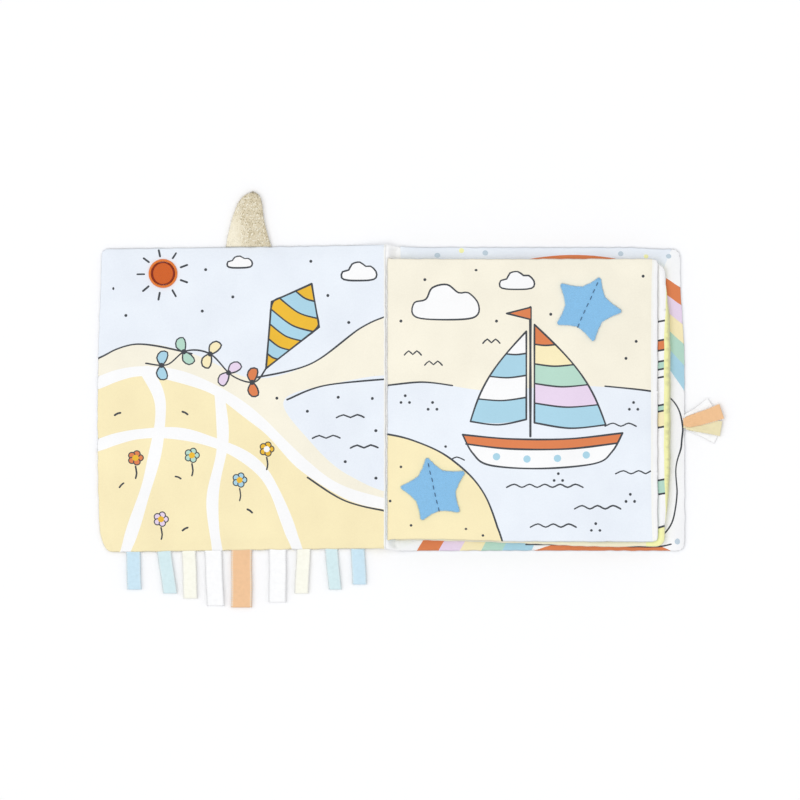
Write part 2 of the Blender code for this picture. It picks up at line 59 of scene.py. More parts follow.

# %% [markdown]
# The cloth is printed in fifteen flat inks. Each is written as the sRGB colour that the eye sees, and one
# function turns it to the linear values that shaders work in. No dye is quite even, so another gives the
# darker and the paler tone that a material mixes into its colour; for the threads these are painted shade and
# light.


# %% Inks
def linear(code):
    """An sRGB hex colour as linear red, green, blue and alpha."""
    values = [int(code[i:i + 2], 16) / 255 for i in (1, 3, 5)]
    return [v / 12.92 if v <= 0.04045 else ((v + 0.055) / 1.055) ** 2.4 for v in values] + [1]


def toned(code, factor):
    """A hex colour made darker (a factor below 1) or paler, as linear values."""
    return [min(v * factor, 1) for v in linear(code)[:3]] + [1]


INKS = {
    "white": "#FDFDFE",
    "ice": "#EAF0FB",
    "frost": "#F9FAFD",
    "cream": "#F6F0DE",
    "yellow": "#FAEABD",
    "lemon": "#FAF7B2",
    "vanilla": "#F9EFD2",
    "pearl": "#F9F8F2",
    "mustard": "#EBB92D",
    "sky": "#A9D3E5",
    "terracotta": "#DD7F4C",
    "lilac": "#E8D5EC",
    "mint": "#B5D9C8",
    "mist": "#C0D0DC",
    "charcoal": "#3A3E44",
}
INK_ORDER = list(INKS)
RAINBOW = ["terracotta", "lilac", "yellow", "mint", "sky"]
print(len(INKS), "inks")

# %% [markdown]
# The photograph is taken from straight above, so far away that nothing tapers. An orthographic camera gives
# the same: its scale is the width of table that fills the frame, 0.588 mm for each of 800 pixels.

# %% Camera
MM_PER_PIXEL = 0.588
PICTURE_SIDE = 800
SPINE_PIXEL = (393, 399)
CAMERA_HEIGHT = 1
camera_data = bpy.data.cameras.new("camera_above")
camera_data.type = "ORTHO"
camera_data.ortho_scale = PICTURE_SIDE * MM_PER_PIXEL * MM
camera = bpy.data.objects.new("camera_above", camera_data)
camera.location = (
    (PICTURE_SIDE / 2 - SPINE_PIXEL[0]) * MM_PER_PIXEL * MM,
    -(PICTURE_SIDE / 2 - SPINE_PIXEL[1]) * MM_PER_PIXEL * MM,
    CAMERA_HEIGHT,
)
bpy.context.scene.collection.objects.link(camera)
bpy.context.scene.camera = camera
print("the camera sees", round(camera_data.ortho_scale / MM), "mm of table")

# %% [markdown]
# One helper adds a shader node: its settings are attributes, and each socket gets either a value or a link.


# %% Node helper
def add_node(tree, kind, sockets=(), **settings):
    """Adds a node with its settings, and gives each named socket a value or another node's output."""
    made = tree.nodes.new(kind)
    for name, value in settings.items():
        setattr(made, name, value)
    for name, value in dict(sockets).items():
        if isinstance(value, bpy.types.NodeSocket):
            tree.links.new(value, made.inputs[name])
        else:
            made.inputs[name].default_value = value
    return made


def blank_material(name):
    """A material with an empty node tree."""
    material = bpy.data.materials.new(name)
    material.use_nodes = True
    material.node_tree.nodes.clear()
    return material, material.node_tree


# %% [markdown]
# The table is a sheet of matt white paper. Its diffuse colour catches the book's faint shadow, and a little
# light of its own, seen by the camera and in reflections but not by the book, brings the bare paper up to
# white. A fine bump gives it the grain of paper.

# %% Table
PAPER_GLOW = 0.065
TABLE_HALF = 3
TABLE_DROP = 0.0002


def seen_rays(tree):
    """1 for what the camera sees, directly or in a gloss, and 0 for the light that falls on things."""
    path = add_node(tree, "ShaderNodeLightPath").outputs
    seen = path["Is Camera Ray"]
    for way in ("Is Glossy Ray", "Is Transmission Ray"):
        seen = add_node(tree, "ShaderNodeMath", {0: seen, 1: path[way]}, operation="MAXIMUM").outputs[0]
    return seen


paper, tree = blank_material("matt_white_paper")
seen = seen_rays(tree)
grain = add_node(tree, "ShaderNodeTexNoise", {"Scale": 900, "Detail": 2}).outputs["Fac"]
fibre = add_node(tree, "ShaderNodeBump", {"Strength": 0.05, "Distance": 0.0001, "Height": grain})
matt = add_node(
    tree, "ShaderNodeBsdfDiffuse", {"Color": linear("#F4F4F5"), "Normal": fibre.outputs["Normal"]}
)
glow = add_node(tree, "ShaderNodeEmission", {"Color": (1, 1, 1, 1), "Strength": PAPER_GLOW})
both = add_node(tree, "ShaderNodeAddShader", {0: matt.outputs[0], 1: glow.outputs[0]})
mixed = add_node(tree, "ShaderNodeMixShader", {"Fac": seen, 1: matt.outputs[0], 2: both.outputs[0]})
add_node(tree, "ShaderNodeOutputMaterial", {"Surface": mixed.outputs[0]})

table = bmesh.new()
bmesh.ops.create_grid(table, x_segments=8, y_segments=8, size=TABLE_HALF)
table_data = bpy.data.meshes.new("table_top")
table.to_mesh(table_data)
table.free()
table_data.materials.append(paper)
table_top = bpy.data.objects.new("table_top", table_data)
table_top.location.z = -TABLE_DROP
bpy.context.scene.collection.objects.link(table_top)
print("a paper-covered table", 2 * TABLE_HALF, "m wide")

# %% [markdown]
# The photograph's light has no hard edge anywhere. A bright room does most of it, a wide window at the left
# gives the faint haze of shadow to the right, and a scrim overhead evens out the rest. Where the camera looks
# past the table it sees plain white, which lights nothing.

# %% Light
ROOM_COLOUR, ROOM_STRENGTH = (0.985, 0.99, 1, 1), 0.68
LAMPS = (("window_left", (-0.38, -0.08, 1), 55, 0.79), ("scrim_overhead", (0.05, 0.05, 1), 80, 0.41))
world = bpy.data.worlds.new("studio")
world.use_nodes = True
world_tree = world.node_tree
world_tree.nodes.clear()
seen = seen_rays(world_tree)
room = add_node(world_tree, "ShaderNodeBackground", {"Color": ROOM_COLOUR, "Strength": ROOM_STRENGTH})
backdrop = add_node(world_tree, "ShaderNodeBackground", {"Color": (1, 1, 1, 1), "Strength": 1.0})
both = add_node(world_tree, "ShaderNodeMixShader", {"Fac": seen, 1: room.outputs[0], 2: backdrop.outputs[0]})
add_node(world_tree, "ShaderNodeOutputWorld", {"Surface": both.outputs[0]})
bpy.context.scene.world = world

for name, direction, softness, power in LAMPS:
    light_data = bpy.data.lights.new(name, "SUN")
    light_data.angle = math.radians(softness)
    light_data.energy = power
    light = bpy.data.objects.new(name, light_data)
    light.location = direction
    light.rotation_euler = Vector(direction).to_track_quat("Z", "Y").to_euler()
    bpy.context.scene.collection.objects.link(light)

bpy.context.scene.view_settings.view_transform = "Standard"
print(len(LAMPS), "lamps and a bright room")

# %% [markdown]
# The pages are a soft polyester-cotton, plain woven, printed and calendered smooth. It looks matt and a
# little cloudy, with a soft paleness where it curves away, which is the sheen. The real threads are 0.2 mm
# apart, finer than a pixel here, so the weave is drawn at 0.7 mm. Under it lies a crinkle film, whose creases
# show through as faint facets 16 mm wide. A wave texture of scale 1 repeats every 0.314 m, and so its scale
# is that length over the threads' pitch.

# %% Printed cotton
THREAD_PITCH = 0.7 * MM
CREASE_SIZE = 16 * MM
WAVE_PERIOD = 0.31416


def printed_cotton(name, code):
    """Plain-woven cotton printed in one ink."""
    material, tree = blank_material(name)
    place = add_node(tree, "ShaderNodeTexCoord").outputs["Object"]
    dye = add_node(tree, "ShaderNodeTexNoise", {"Vector": place, "Scale": 34, "Detail": 3})
    slub = add_node(tree, "ShaderNodeTexNoise", {"Vector": place, "Scale": 1300, "Detail": 1})
    blotch = add_node(tree, "ShaderNodeMath", {0: dye.outputs["Fac"], 1: 0.7}, operation="MULTIPLY")
    tone = add_node(
        tree, "ShaderNodeMath", {0: slub.outputs["Fac"], 1: 0.3, 2: blotch.outputs[0]},
        operation="MULTIPLY_ADD",
    )
    dyed = add_node(
        tree, "ShaderNodeMix", {0: tone.outputs[0], 6: toned(code, 0.87), 7: toned(code, 1.09)},
        data_type="RGBA",
    ).outputs[2]

    threads = [
        add_node(
            tree, "ShaderNodeTexWave",
            {"Vector": place, "Scale": WAVE_PERIOD / THREAD_PITCH, "Distortion": 0.4, "Detail": 1},
            bands_direction=direction,
        ).outputs["Fac"]
        for direction in ("X", "Y")
    ]
    weave = add_node(tree, "ShaderNodeMath", {0: threads[0], 1: threads[1]}, operation="ADD")
    creases = add_node(
        tree, "ShaderNodeTexNoise",
        {"Vector": place, "Scale": 1 / CREASE_SIZE, "Detail": 2, "Roughness": 0.45, "Distortion": 0.6},
    )
    crease_bump = add_node(
        tree, "ShaderNodeBump", {"Strength": 0.35, "Distance": 0.0011, "Height": creases.outputs["Fac"]}
    )
    weave_bump = add_node(
        tree, "ShaderNodeBump",
        {
            "Strength": 0.22, "Distance": 0.00006, "Height": weave.outputs[0],
            "Normal": crease_bump.outputs["Normal"],
        },
    )
    surface = add_node(
        tree, "ShaderNodeBsdfPrincipled",
        {
            "Base Color": dyed, "Roughness": 0.62, "Specular IOR Level": 0.3,
            "Sheen Weight": 0.8, "Sheen Roughness": 0.4, "Normal": weave_bump.outputs["Normal"],
        },
    )
    add_node(tree, "ShaderNodeOutputMaterial", {"Surface": surface.outputs[0]})
    return material


INK_MATERIALS = [printed_cotton("printed_cotton_" + ink, INKS[ink]) for ink in INK_ORDER]
print(len(INK_MATERIALS), "printed cottons")

# %% [markdown]
# Most pieces start as a list of points and faces, worked out in code. One helper makes an object of them,
# and another opens its mesh again, changes it and turns its normals outwards.


# %% Mesh helpers
def reshape(data, change=None):
    """Opens a mesh for a change, if one is given, and closes it with its normals turned outwards."""
    shaped = bmesh.new()
    shaped.from_mesh(data)
    if change:
        change(shaped)
    bmesh.ops.recalc_face_normals(shaped, faces=shaped.faces)
    shaped.to_mesh(data)
    shaped.free()


def make_object(name, points, faces, materials, slots=None):
    """An object from points in metres and faces."""
    data = bpy.data.meshes.new(name)
    data.from_pydata([tuple(p) for p in points], [], [tuple(int(k) for k in f) for f in faces])
    for material in materials:
        data.materials.append(material)
    if slots is not None:
        data.polygons.foreach_set("material_index", [int(s) for s in slots])
    reshape(data)
    data.shade_smooth()
    piece = bpy.data.objects.new(name, data)
    bpy.context.scene.collection.objects.link(piece)
    return piece


def grid_faces(rows, columns, start=0, wrap=False):
    """The quads of a grid of points, numbered row by row."""
    return [
        (
            start + r * columns + c, start + r * columns + (c + 1) % columns,
            start + (r + 1) * columns + (c + 1) % columns, start + (r + 1) * columns + c,
        )
        for r in range(rows - 1) for c in range(columns if wrap else columns - 1)
    ]


def closed_faces(rows, columns):
    """The faces of two grids of points, one over the other, joined all round their border."""
    count = rows * columns
    faces = grid_faces(rows, columns) + [f[::-1] for f in grid_faces(rows, columns, count)]
    border = list(range(columns))
    border += [r * columns + columns - 1 for r in range(1, rows)]
    border += [(rows - 1) * columns + c for c in range(columns - 2, -1, -1)]
    border += [r * columns for r in range(rows - 2, 0, -1)]
    return faces + [(a, a + count, b + count, b) for a, b in zip(border, border[1:] + border[:1])]


def thick_sheet(grid, thickness):
    """Points and faces of a sheet about a grid of points, pushed out along its normals to either side."""
    normal = np.cross(np.gradient(grid, axis=0), np.gradient(grid, axis=1))
    normal /= np.maximum(np.linalg.norm(normal, axis=2, keepdims=True), 1e-12)
    upper = (grid + normal * thickness / 2).reshape(-1, 3)
    lower = (grid - normal * thickness / 2).reshape(-1, 3)
    return np.vstack([upper, lower]), closed_faces(*grid.shape[:2])


def gather(parts):
    """One list of points and faces from several."""
    points, faces = [], []
    for part_points, part_faces in parts:
        start = len(points)
        points += [tuple(p) for p in part_points]
        faces += [tuple(k + start for k in f) for f in part_faces]
    return np.array(points), faces


print("mesh helpers ready")

# %% [markdown]
# Felt and plush are known by their fuzz. Slim hairs, three-sided and leaning every way, are cheap enough to
# stand by the thousand along an edge, where a bump in the material can't break the outline.


# %% Hairs
def tufts(spots, normals, length, thickness, seed):
    """Hairs on spots of a surface: points and faces."""
    chance = np.random.RandomState(seed)
    points, faces = [], []
    for spot, normal in zip(spots, normals):
        normal = np.array(normal, float)
        side = np.cross(normal, chance.normal(size=3))
        side /= max(np.linalg.norm(side), 1e-9)
        third = np.cross(normal, side)
        start = len(points)
        root = np.array(spot) - normal * thickness
        for turn in (0, 2.1, 4.2):
            points.append(root + thickness / 2 * (side * math.cos(turn) + third * math.sin(turn)))
        reach = length * chance.uniform(0.5, 1)
        heading = normal * chance.uniform(0.3, 0.7) + side * 0.8 * chance.uniform(0.5, 1)
        points.append(root + reach * heading)
        faces += [(start, start + 2, start + 1)]
        faces += [(start + k, start + (k + 1) % 3, start + 3) for k in range(3)]
    return np.array(points), faces


print("hairs can be set")

# %% [markdown]
# A print is a list of flat shapes in painter's order, in millimetres from the page's centre. Lines are brush
# strokes: closed shapes too, a little wider in the middle, with round ends, as a hand-drawn line has.


# %% Drawing helpers
def curve_through(points, closed=False, step=1.5):
    """Points of a smooth curve through the given ones, about a step apart."""
    given = np.array(points, float)
    count = len(given)
    found = []
    for i in range(count if closed else count - 1):
        if closed:
            a, b, c, d = (given[(i + k) % count] for k in (-1, 0, 1, 2))
        else:
            a, b, c, d = (given[min(max(i + k, 0), count - 1)] for k in (-1, 0, 1, 2))
        bend, swerve = 2 * a - 5 * b + 4 * c - d, 3 * b - a - 3 * c + d
        steps = max(2, int(np.linalg.norm(c - b) / step))
        for t in np.arange(steps) / steps:
            found.append(0.5 * (2 * b + (c - a) * t + bend * t ** 2 + swerve * t ** 3))
    if not closed:
        found.append(given[-1])
    return np.array(found)


def sideways(line):
    """The unit vector across an open line at each of its points."""
    along = np.gradient(line, axis=0)
    along /= np.maximum(np.linalg.norm(along, axis=1, keepdims=True), 1e-9)
    return np.stack([-along[:, 1], along[:, 0]], 1)


def brush_stroke(line, width):
    """The outline of a stroke along an open line, swelling a little where the pen presses."""
    across = sideways(line)
    along = np.stack([across[:, 1], -across[:, 0]], 1)
    phase = np.cumsum(np.linalg.norm(np.diff(line, axis=0, prepend=line[:1]), axis=1))
    half = (width / 2 * (1 + 0.1 * np.sin(phase / 7 + line[0, 0])))[:, None]
    caps = []
    for end, way in ((-1, 1), (0, -1)):
        turns = [
            line[end] + half[end] * (across[end] * way * math.cos(t) + along[end] * way * math.sin(t))
            for t in (math.pi / 4, math.pi / 2, 3 * math.pi / 4)
        ]
        caps.append(turns)
    return np.array([*(line + across * half), *caps[0], *(line - across * half)[::-1], *caps[1]])


def circle(x, y, radius, sides=16):
    """A round outline."""
    turn = np.arange(sides) / sides * math.tau
    return np.stack([x + radius * np.cos(turn), y + radius * np.sin(turn)], 1)


def star_outline(x, y, outer, inner, turn, tips=5):
    """A pointed star's outline."""
    angles = turn + np.arange(tips * 2) * math.pi / tips
    reach = np.where(np.arange(tips * 2) % 2 == 0, outer, inner)
    return np.stack([x + reach * np.cos(angles), y + reach * np.sin(angles)], 1)


class Print:
    """The shapes printed on one page, in painter's order."""

    def __init__(self, ground):
        self.ground = ground
        self.shapes = []

    def area(self, ink, outline, longest=2.6):
        """A flat shape. Its long sides get points between, so that they follow the cloth's curves."""
        outline = np.array(outline, float)
        points = []
        for a, b in zip(outline, np.roll(outline, -1, 0)):
            steps = max(1, math.ceil(np.linalg.norm(b - a) / longest))
            points += [a + (b - a) * k / steps for k in range(steps)]
        self.shapes.append((INK_ORDER.index(ink), np.array(points)))

    def line(self, points, width=1.0, ink="charcoal"):
        """A stroke, smooth through the given points."""
        self.area(ink, brush_stroke(curve_through(points), width))

    def strip(self, ink, left, right):
        """A band of ink from the foot of the page to its head."""
        self.area(ink, [(left, -95), (right, -95), (right, 95), (left, 95)])

    def drawn(self, ink, points, smooth=True, width=1.0):
        """A filled shape with a drawn line round it."""
        outline = curve_through(points, closed=True) if smooth else np.array(points, float)
        self.area(ink, outline)
        around = np.vstack([outline, outline[:2]])
        self.area("charcoal", brush_stroke(around, width))

    def ground_below(self, ink, crest):
        """Land or water from a crest line down to the page's foot."""
        top = curve_through(crest)
        self.area(ink, np.vstack([top, [(top[-1, 0], -110), (top[0, 0], -110)]]))

    def dots(self, ink, places, radius):
        """Round dots of one size."""
        for x, y in places:
            self.area(ink, circle(x, y, radius, 12))

    def cloud(self, x, y, size):
        """A white cloud of four lobes on a flat base."""
        lobes = [(-20, 0), (-19, 7), (-12, 9), (-8, 16), (1, 18), (8, 13)]
        lobes += [(14, 13), (20, 7), (20, 0), (12, -3), (-12, -3)]
        self.drawn("white", [(x + size * a, y + size * b) for a, b in lobes])

    def sides(self, corners, width=1.05):
        """Straight drawn lines from corner to corner."""
        for a, b in zip(corners, corners[1:]):
            self.line([a, b], width)

    def striped(self, left, right, inks, sag, width=0.95):
        """Bands of ink across a shape between two edges, each a function of the way down it."""

        def cross(way):
            a, b = np.array(left(way)), np.array(right(way))
            middle = (a + b) / 2 - (0, sag * np.linalg.norm(b - a))
            return curve_through([a, middle, b])

        levels = np.linspace(0, 1, len(inks) + 1)
        for k, ink in enumerate(inks):
            ways = np.linspace(levels[k], levels[k + 1], 6)[1:-1]
            down = [right(way) for way in ways]
            up = [left(way) for way in ways[::-1]]
            self.area(ink, np.vstack([cross(levels[k]), down, cross(levels[k + 1])[::-1], up]))
        for level in levels[1:-1]:
            self.area("charcoal", brush_stroke(cross(level), width))
        for edge in (left, right):
            self.line([edge(way) for way in np.linspace(0, 1, 13)], 1.05)

    def bow(self, ink, x, y, turn, size):
        """A small ribbon bow, tied across a string that runs at the angle turn."""
        spin = np.array([[math.cos(turn), math.sin(turn)], [-math.sin(turn), math.cos(turn)]])
        for side in (1, -1):
            loop = np.array([(0, 0), (2.2, 3.6), (0.4, 6.6), (-2.6, 6.2), (-2.4, 3.0)]) * (size, side * size)
            self.drawn(ink, loop @ spin + (x, y), width=0.9)
        self.area("charcoal", circle(x, y, 0.95 * size + 0.4, 10))


print("drawing helpers ready")

# %% [markdown]
# The front cover's inside: rounded yellow fields with white paths between them, flowers and a pond. Short
# rays stand round the place of the sewn-on orange disc.

# %% Meadow print
DISC_PLACE = (-47.0, 73.8)
PATH_WIDTH = 6.5
meadow = Print("ice")
meadow.ground_below("cream", [(-95, 20), (-62, 33), (-30, 27), (6, 12), (40, 20), (68, 40), (95, 52)])
meadow.line([(6, 12), (40, 20), (68, 40), (85, 48)])
meadow.line([(-86, 24), (-62, 33), (-30, 27)])
pond = [(24, -2), (48, 7), (95, 11), (110, -20), (95, -56), (62, -46), (38, -24)]
meadow.area("ice", curve_through(pond, True))
meadow.line([(26, -1), (48, 7), (86, 10.5)])
near_crest = [(-95, 6), (-60, 17), (-22, 8), (10, -14), (36, -40), (62, -57), (95, -66)]
meadow.ground_below("yellow", near_crest)
for path in (
    near_crest,
    [(-95, -30), (-60, -20), (-25, -23), (12, -44), (34, -95)],
    [(-56, 17), (-48, -4), (-54, -44), (-72, -98)],
    [(-14, 4), (-12, -26), (-18, -60), (-14, -98)],
):
    meadow.line(path, PATH_WIDTH, "white")
meadow.line([(38, -47), (60, -61), (86, -68)])
for a, b in ((62, -12), (48, -24), (70, -30)):
    meadow.line([(a - 7, b), (a - 3, b + 1.6), (a + 1, b), (a + 5, b + 1.6), (a + 9, b)], 1.0)
specks = [(38, -8), (56, 0), (76, -1), (78, -20), (60, -38), (78, -48), (50, 60), (40, 80)]
specks += [(-22, 76), (-24, 52), (62, 44), (-76, 66), (-68, 50), (14, 20), (20, 0), (-6, 60)]
meadow.dots("charcoal", specks, 0.9)
for a, b, turn in (
    (-72, -8, 0.4), (-34, -8, -0.5), (-70, -50, 0.8), (-38, -46, -0.4), (-34, -76, 0.5), (4, -66, -0.6),
):
    c, s = 1.7 * math.cos(turn), 1.7 * math.sin(turn)
    meadow.line([(a - c, b - s), (a, b + 0.3), (a + c, b + s)], 1.1)
for a, b, ink in (
    (-62, -34, "terracotta"), (-30, -33, "mint"), (-2, -48, "sky"), (-48, -70, "lilac"), (14, -30, "mustard"),
):
    for k in range(5):
        spot = (a + 2.5 * math.cos(k * 1.2566), b + 2.5 * math.sin(k * 1.2566))
        meadow.area("charcoal", circle(*spot, 2.15))
        meadow.area(ink, circle(*spot, 1.5))
    meadow.area("mustard" if ink != "mustard" else "white", circle(a, b, 1.8))
    meadow.line([(a, b - 5), (a + 0.6, b - 9), (a, b - 12)], 0.9)
for k in range(9):
    turn = 0.35 + k * math.tau / 9
    c, s = math.cos(turn), math.sin(turn)
    x, y = DISC_PLACE
    meadow.line([(x + 11 * c, y + 11 * s), (x + 13 * c, y + 13 * s), (x + 15 * c, y + 15 * s)], 1.1)
print("the fields and flowers have", len(meadow.shapes), "shapes")

# %% [markdown]
# The kite's two edges are functions of the way down it, so that one method cuts its bands of colour, here and
# for the sails of the next page. Its tail carries five bows. At the spine edge the print ends in a pale strip
# and a white one.


# %% Kite and clouds
def kite(page, x, y, turn):
    """A striped kite of 32 by 56 mm, tilted by turn, with five bows on its tail."""
    spin = np.array([[math.cos(turn), math.sin(turn)], [-math.sin(turn), math.cos(turn)]])

    def put(point):
        return np.array(point, float) @ spin + (x, y)

    def edge(side):
        def point(way):
            level = 26 - 56 * way
            reach = (26 - level) / 20 if level > 6 else (level + 30) / 36
            return put((side * 16 * max(reach, 0.01), level))

        return point

    string = [(0, 0), (-7, -8), (-20, -4), (-33, 9), (-47, 11), (-58, 3), (-70, 4)]
    tail = curve_through([put((0, -30)) + place for place in string])
    page.area("charcoal", brush_stroke(tail, 0.95))
    heading = np.gradient(tail, axis=0)
    for k, ink in enumerate(RAINBOW):
        spot = int(len(tail) * (0.15 + 0.185 * k))
        page.bow(ink, *tail[spot], math.atan2(heading[spot, 1], heading[spot, 0]), 1.25)
    page.striped(edge(-1), edge(1), ["mustard", "sky"] * 3 + ["mustard"], 0.10)
    page.sides([put(p) for p in ((0, 26), (16, 6), (0, -30), (-16, 6), (0, 26))], 1.1)


kite(meadow, 28, 44, -0.5)
meadow.cloud(68, 70, 0.5)
meadow.cloud(-2, 78, 0.36)
meadow.strip("pearl", 82.2, 84)
meadow.strip("white", 83.0, 95)
print("the meadow print has", len(meadow.shapes), "shapes")

# %% [markdown]
# The upper leaf: a boat with striped sails on a pale sea, under a cream sky. The print stops short of the
# fore-edge, which leaves a white margin, and the felt stars are sewn in the sky and on the beach.

# %% Sea print
sea = Print("cream")
sea.ground_below("ice", [(-95, 6), (-60, 10), (-20, 5), (30, 8), (95, 3)])
sea.line([(-82, 7.8), (-60, 10), (-42, 8)])
sea.line([(48, 7.6), (64, 6), (78, 4.4)])
sea.cloud(-46, 50, 0.95)
sea.cloud(-4, 66, 0.5)
for a, b in ((-70, 26), (-24, 33), (-58, 20)):
    sea.line([(a, b), (a + 2.6, b + 2.4), (a + 5, b + 0.3), (a + 7.4, b + 2.4), (a + 10, b)], 0.9)
MAST_X = 4


def sail(page, side, inks, top, foot, reach):
    """A sail of coloured bands on one side of the mast."""
    x = MAST_X + 2.4 * side

    def luff(way):
        return (x, top + (foot - top) * way)

    def leech(way):
        belly = way + 0.16 * math.sin(math.pi * way)
        return (x + side * reach * belly, top + (foot - top) * way - 1.2 * way)

    page.striped(luff, leech, inks, 0.05)
    page.line([luff(1), (x + side * reach / 2, foot - 3.2), leech(1)], 1.05)


sea.line([(MAST_X, -22), (MAST_X, 20), (MAST_X, 54)], 1.5)
sea.area("terracotta", [(MAST_X, 54), (MAST_X - 14, 50.5), (MAST_X, 47)])
sea.sides([(MAST_X, 54), (MAST_X - 14, 50.5), (MAST_X, 47)])
sail(sea, 1, ["terracotta", "yellow", "mint", "lilac", "sky"], 44, -14, 42)
sail(sea, -1, ["white", "sky", "white", "sky"], 40, -12, 33)
hull = curve_through([(-36, -21), (-8, -23.5), (26, -23.5), (58, -20)])
keel = curve_through([(58, -20), (52, -31), (42, -38), (10, -41), (-20, -39), (-30, -32), (-36, -21)])
sea.area("white", np.vstack([hull, keel]))
sea.area("terracotta", np.vstack([hull, (hull + (0, -6))[::-1] * (0.95, 1) + (0.6, 0)]))
sea.line([(-34, -26.5), (-8, -29.4), (26, -29.4), (55, -26)], 1.1)
sea.area("charcoal", brush_stroke(hull, 1.05))
sea.area("charcoal", brush_stroke(keel, 1.05))
sea.dots("sky", [(-16, -34), (2, -35.4), (20, -35), (37, -33)], 2.2)
for a, b, count in ((-62, -36, 3), (54, -44, 4), (-10, -52, 5), (30, -64, 3), (48, -16, 2), (4, -74, 3)):
    swell = [(a + k * 4.5, b + (1.8 if k % 2 else 0)) for k in range(count * 2 + 1)]
    sea.line(swell, 0.9)
for a, b in ((60, -60), (18, -48), (62, -6), (40, -76), (-72, -2), (-56, -6)):
    sea.dots("charcoal", [(a, b), (a + 5, b), (a + 2.5, b + 4)], 0.85)
specks = [(-58, 70), (-28, 76), (16, 50), (60, 24), (70, 72), (-16, 46), (-72, 46), (66, 34)]
sea.dots("charcoal", specks, 0.9)
beach = [(-95, -18), (-66, -24), (-42, -36), (-22, -58), (-8, -98)]
sea.area("yellow", np.vstack([curve_through(beach), [(-95, -98)]]))
sea.line(beach, 1.05)
sea.dots("charcoal", [(-72, -40), (-66, -74), (-34, -76), (-24, -80), (-78, -60), (-46, -28)], 0.8)
sea.strip("pearl", 75.6, 78)
sea.strip("white", 77.0, 95)
print("the sea print has", len(sea.shapes), "shapes")

# %% [markdown]
# The lower leaf shows only its fore-edge, where the ends of wavy stripes come out beside the upper leaf. Its
# lemon back cloth slips out past that edge, so a thin strip along the seam is lemon on the front too.

# %% Stripe print
LEAF_SIZE = (159.4, 166.5)
LEAF_HALF = LEAF_SIZE[0] / 2
SLIP_SEAM = 1.3
SLIP_REACH = 71
stripes = Print("white")
ENDS = [48.8, 37.6, 31.7, 25.2, 20.5, 15.8, -0.6, -4.2, -13.6, -44.7, -53.0, -71.8]
BETWEEN = {1: "terracotta", 3: "mint", 6: "mint", 7: "yellow", 9: "mint", 11: "lemon"}
across_page = np.linspace(-95, 95, 70)
sway = 5 * np.sin((across_page - 77) / 26)
for k, ink in BETWEEN.items():
    low = ENDS[k + 1] if k + 1 < len(ENDS) else -110
    upper_edge = np.stack([across_page, ENDS[k] + sway], 1)
    lower_edge = np.stack([across_page, low + sway], 1)
    stripes.area(ink, np.vstack([upper_edge, lower_edge[::-1]]))


def slip(y):
    """How much of the back cloth slips out past the fore-edge, along the page: 1 in the middle."""
    return np.maximum(1 - (np.abs(y) / SLIP_REACH) ** 4, 0)


page_y = np.linspace(-SLIP_REACH, SLIP_REACH, 60)
stripe_edge = np.stack([LEAF_HALF - SLIP_SEAM * slip(page_y), page_y], 1)
stripes.area("vanilla", [(-95, -100), (68, -100), (68, -79), (-95, -79)])
for end in ENDS:
    stripes.area("charcoal", brush_stroke(np.stack([across_page, end + sway], 1), 1.2))
stripes.area("lemon", np.vstack([stripe_edge, [(95, SLIP_REACH), (95, -SLIP_REACH)]]))
spots = [(-60, 66), (-30, 70), (0, 64), (30, 72), (60, 66), (-45, -28), (-5, -32), (35, -26)]
stripes.dots("mustard", spots, 3.4)
print("the stripe print has", len(stripes.shapes), "shapes")

# %% [markdown]
# The backs of the leaves show once a leaf is turned: balloons over a hill, and rows of dots. The same inks and
# methods draw them.

# %% Balloon and dot prints
balloons = Print("cream")
balloons.ground_below("mint", [(-95, -52), (-50, -38), (0, -50), (50, -40), (95, -54)])
balloons.line([(-85, -49), (-50, -38), (0, -50), (50, -40), (85, -51)])
for x, y, size, ink in ((-38, 22, 19, "sky"), (6, 40, 22, "terracotta"), (44, 14, 18, "mustard")):
    balloons.line([(x, y - size * 1.2), (x + 5, y - 42), (x - 4, y - 58), (2, -58)], 1.0)
    turns = np.arange(12) * math.tau / 12
    balloons.drawn(ink, [(x + size * math.cos(t), y + size * 1.18 * math.sin(t)) for t in turns])
    balloons.line([(x - size * 0.45, y + size * 0.4), (x - size * 0.25, y + size * 0.75)], 1.8, "white")
specks = [(-66, 60), (-20, 66), (36, 70), (66, 50), (-68, 0), (-8, -10), (68, -12), (24, -24)]
balloons.dots("charcoal", specks, 0.9)

dotty = Print("lemon")
for row in range(9):
    for column in range(8):
        x, y = -70 + column * 17.5 + 8.7 * (row % 2), -80 + row * 20
        dotty.area("white", circle(x, y, 4.6))
        dotty.line([(x + 9.5, y + 4), (x + 11, y + 4.4), (x + 12.5, y + 4)], 1.0)
print("the balloon and dot prints have", len(balloons.shapes), "and", len(dotty.shapes), "shapes")

# %% [markdown]
# The back cover's inside shows only as a border: a wide rainbow comes out at the top and the right, and a
# cloud and a bank of colour at the right and the foot.


# %% Border print
def rainbow(page, x, y, outer, band, first=0.0, last=math.pi):
    """Arcs of colour, each inside the last."""
    turn = np.linspace(first, last, 90)
    arc = np.stack([np.cos(turn), np.sin(turn)], 1)
    for k, ink in enumerate(RAINBOW):
        big, small = outer - k * band, outer - (k + 1) * band
        page.area(ink, np.vstack([arc * big + (x, y), (arc * small + (x, y))[::-1]]))


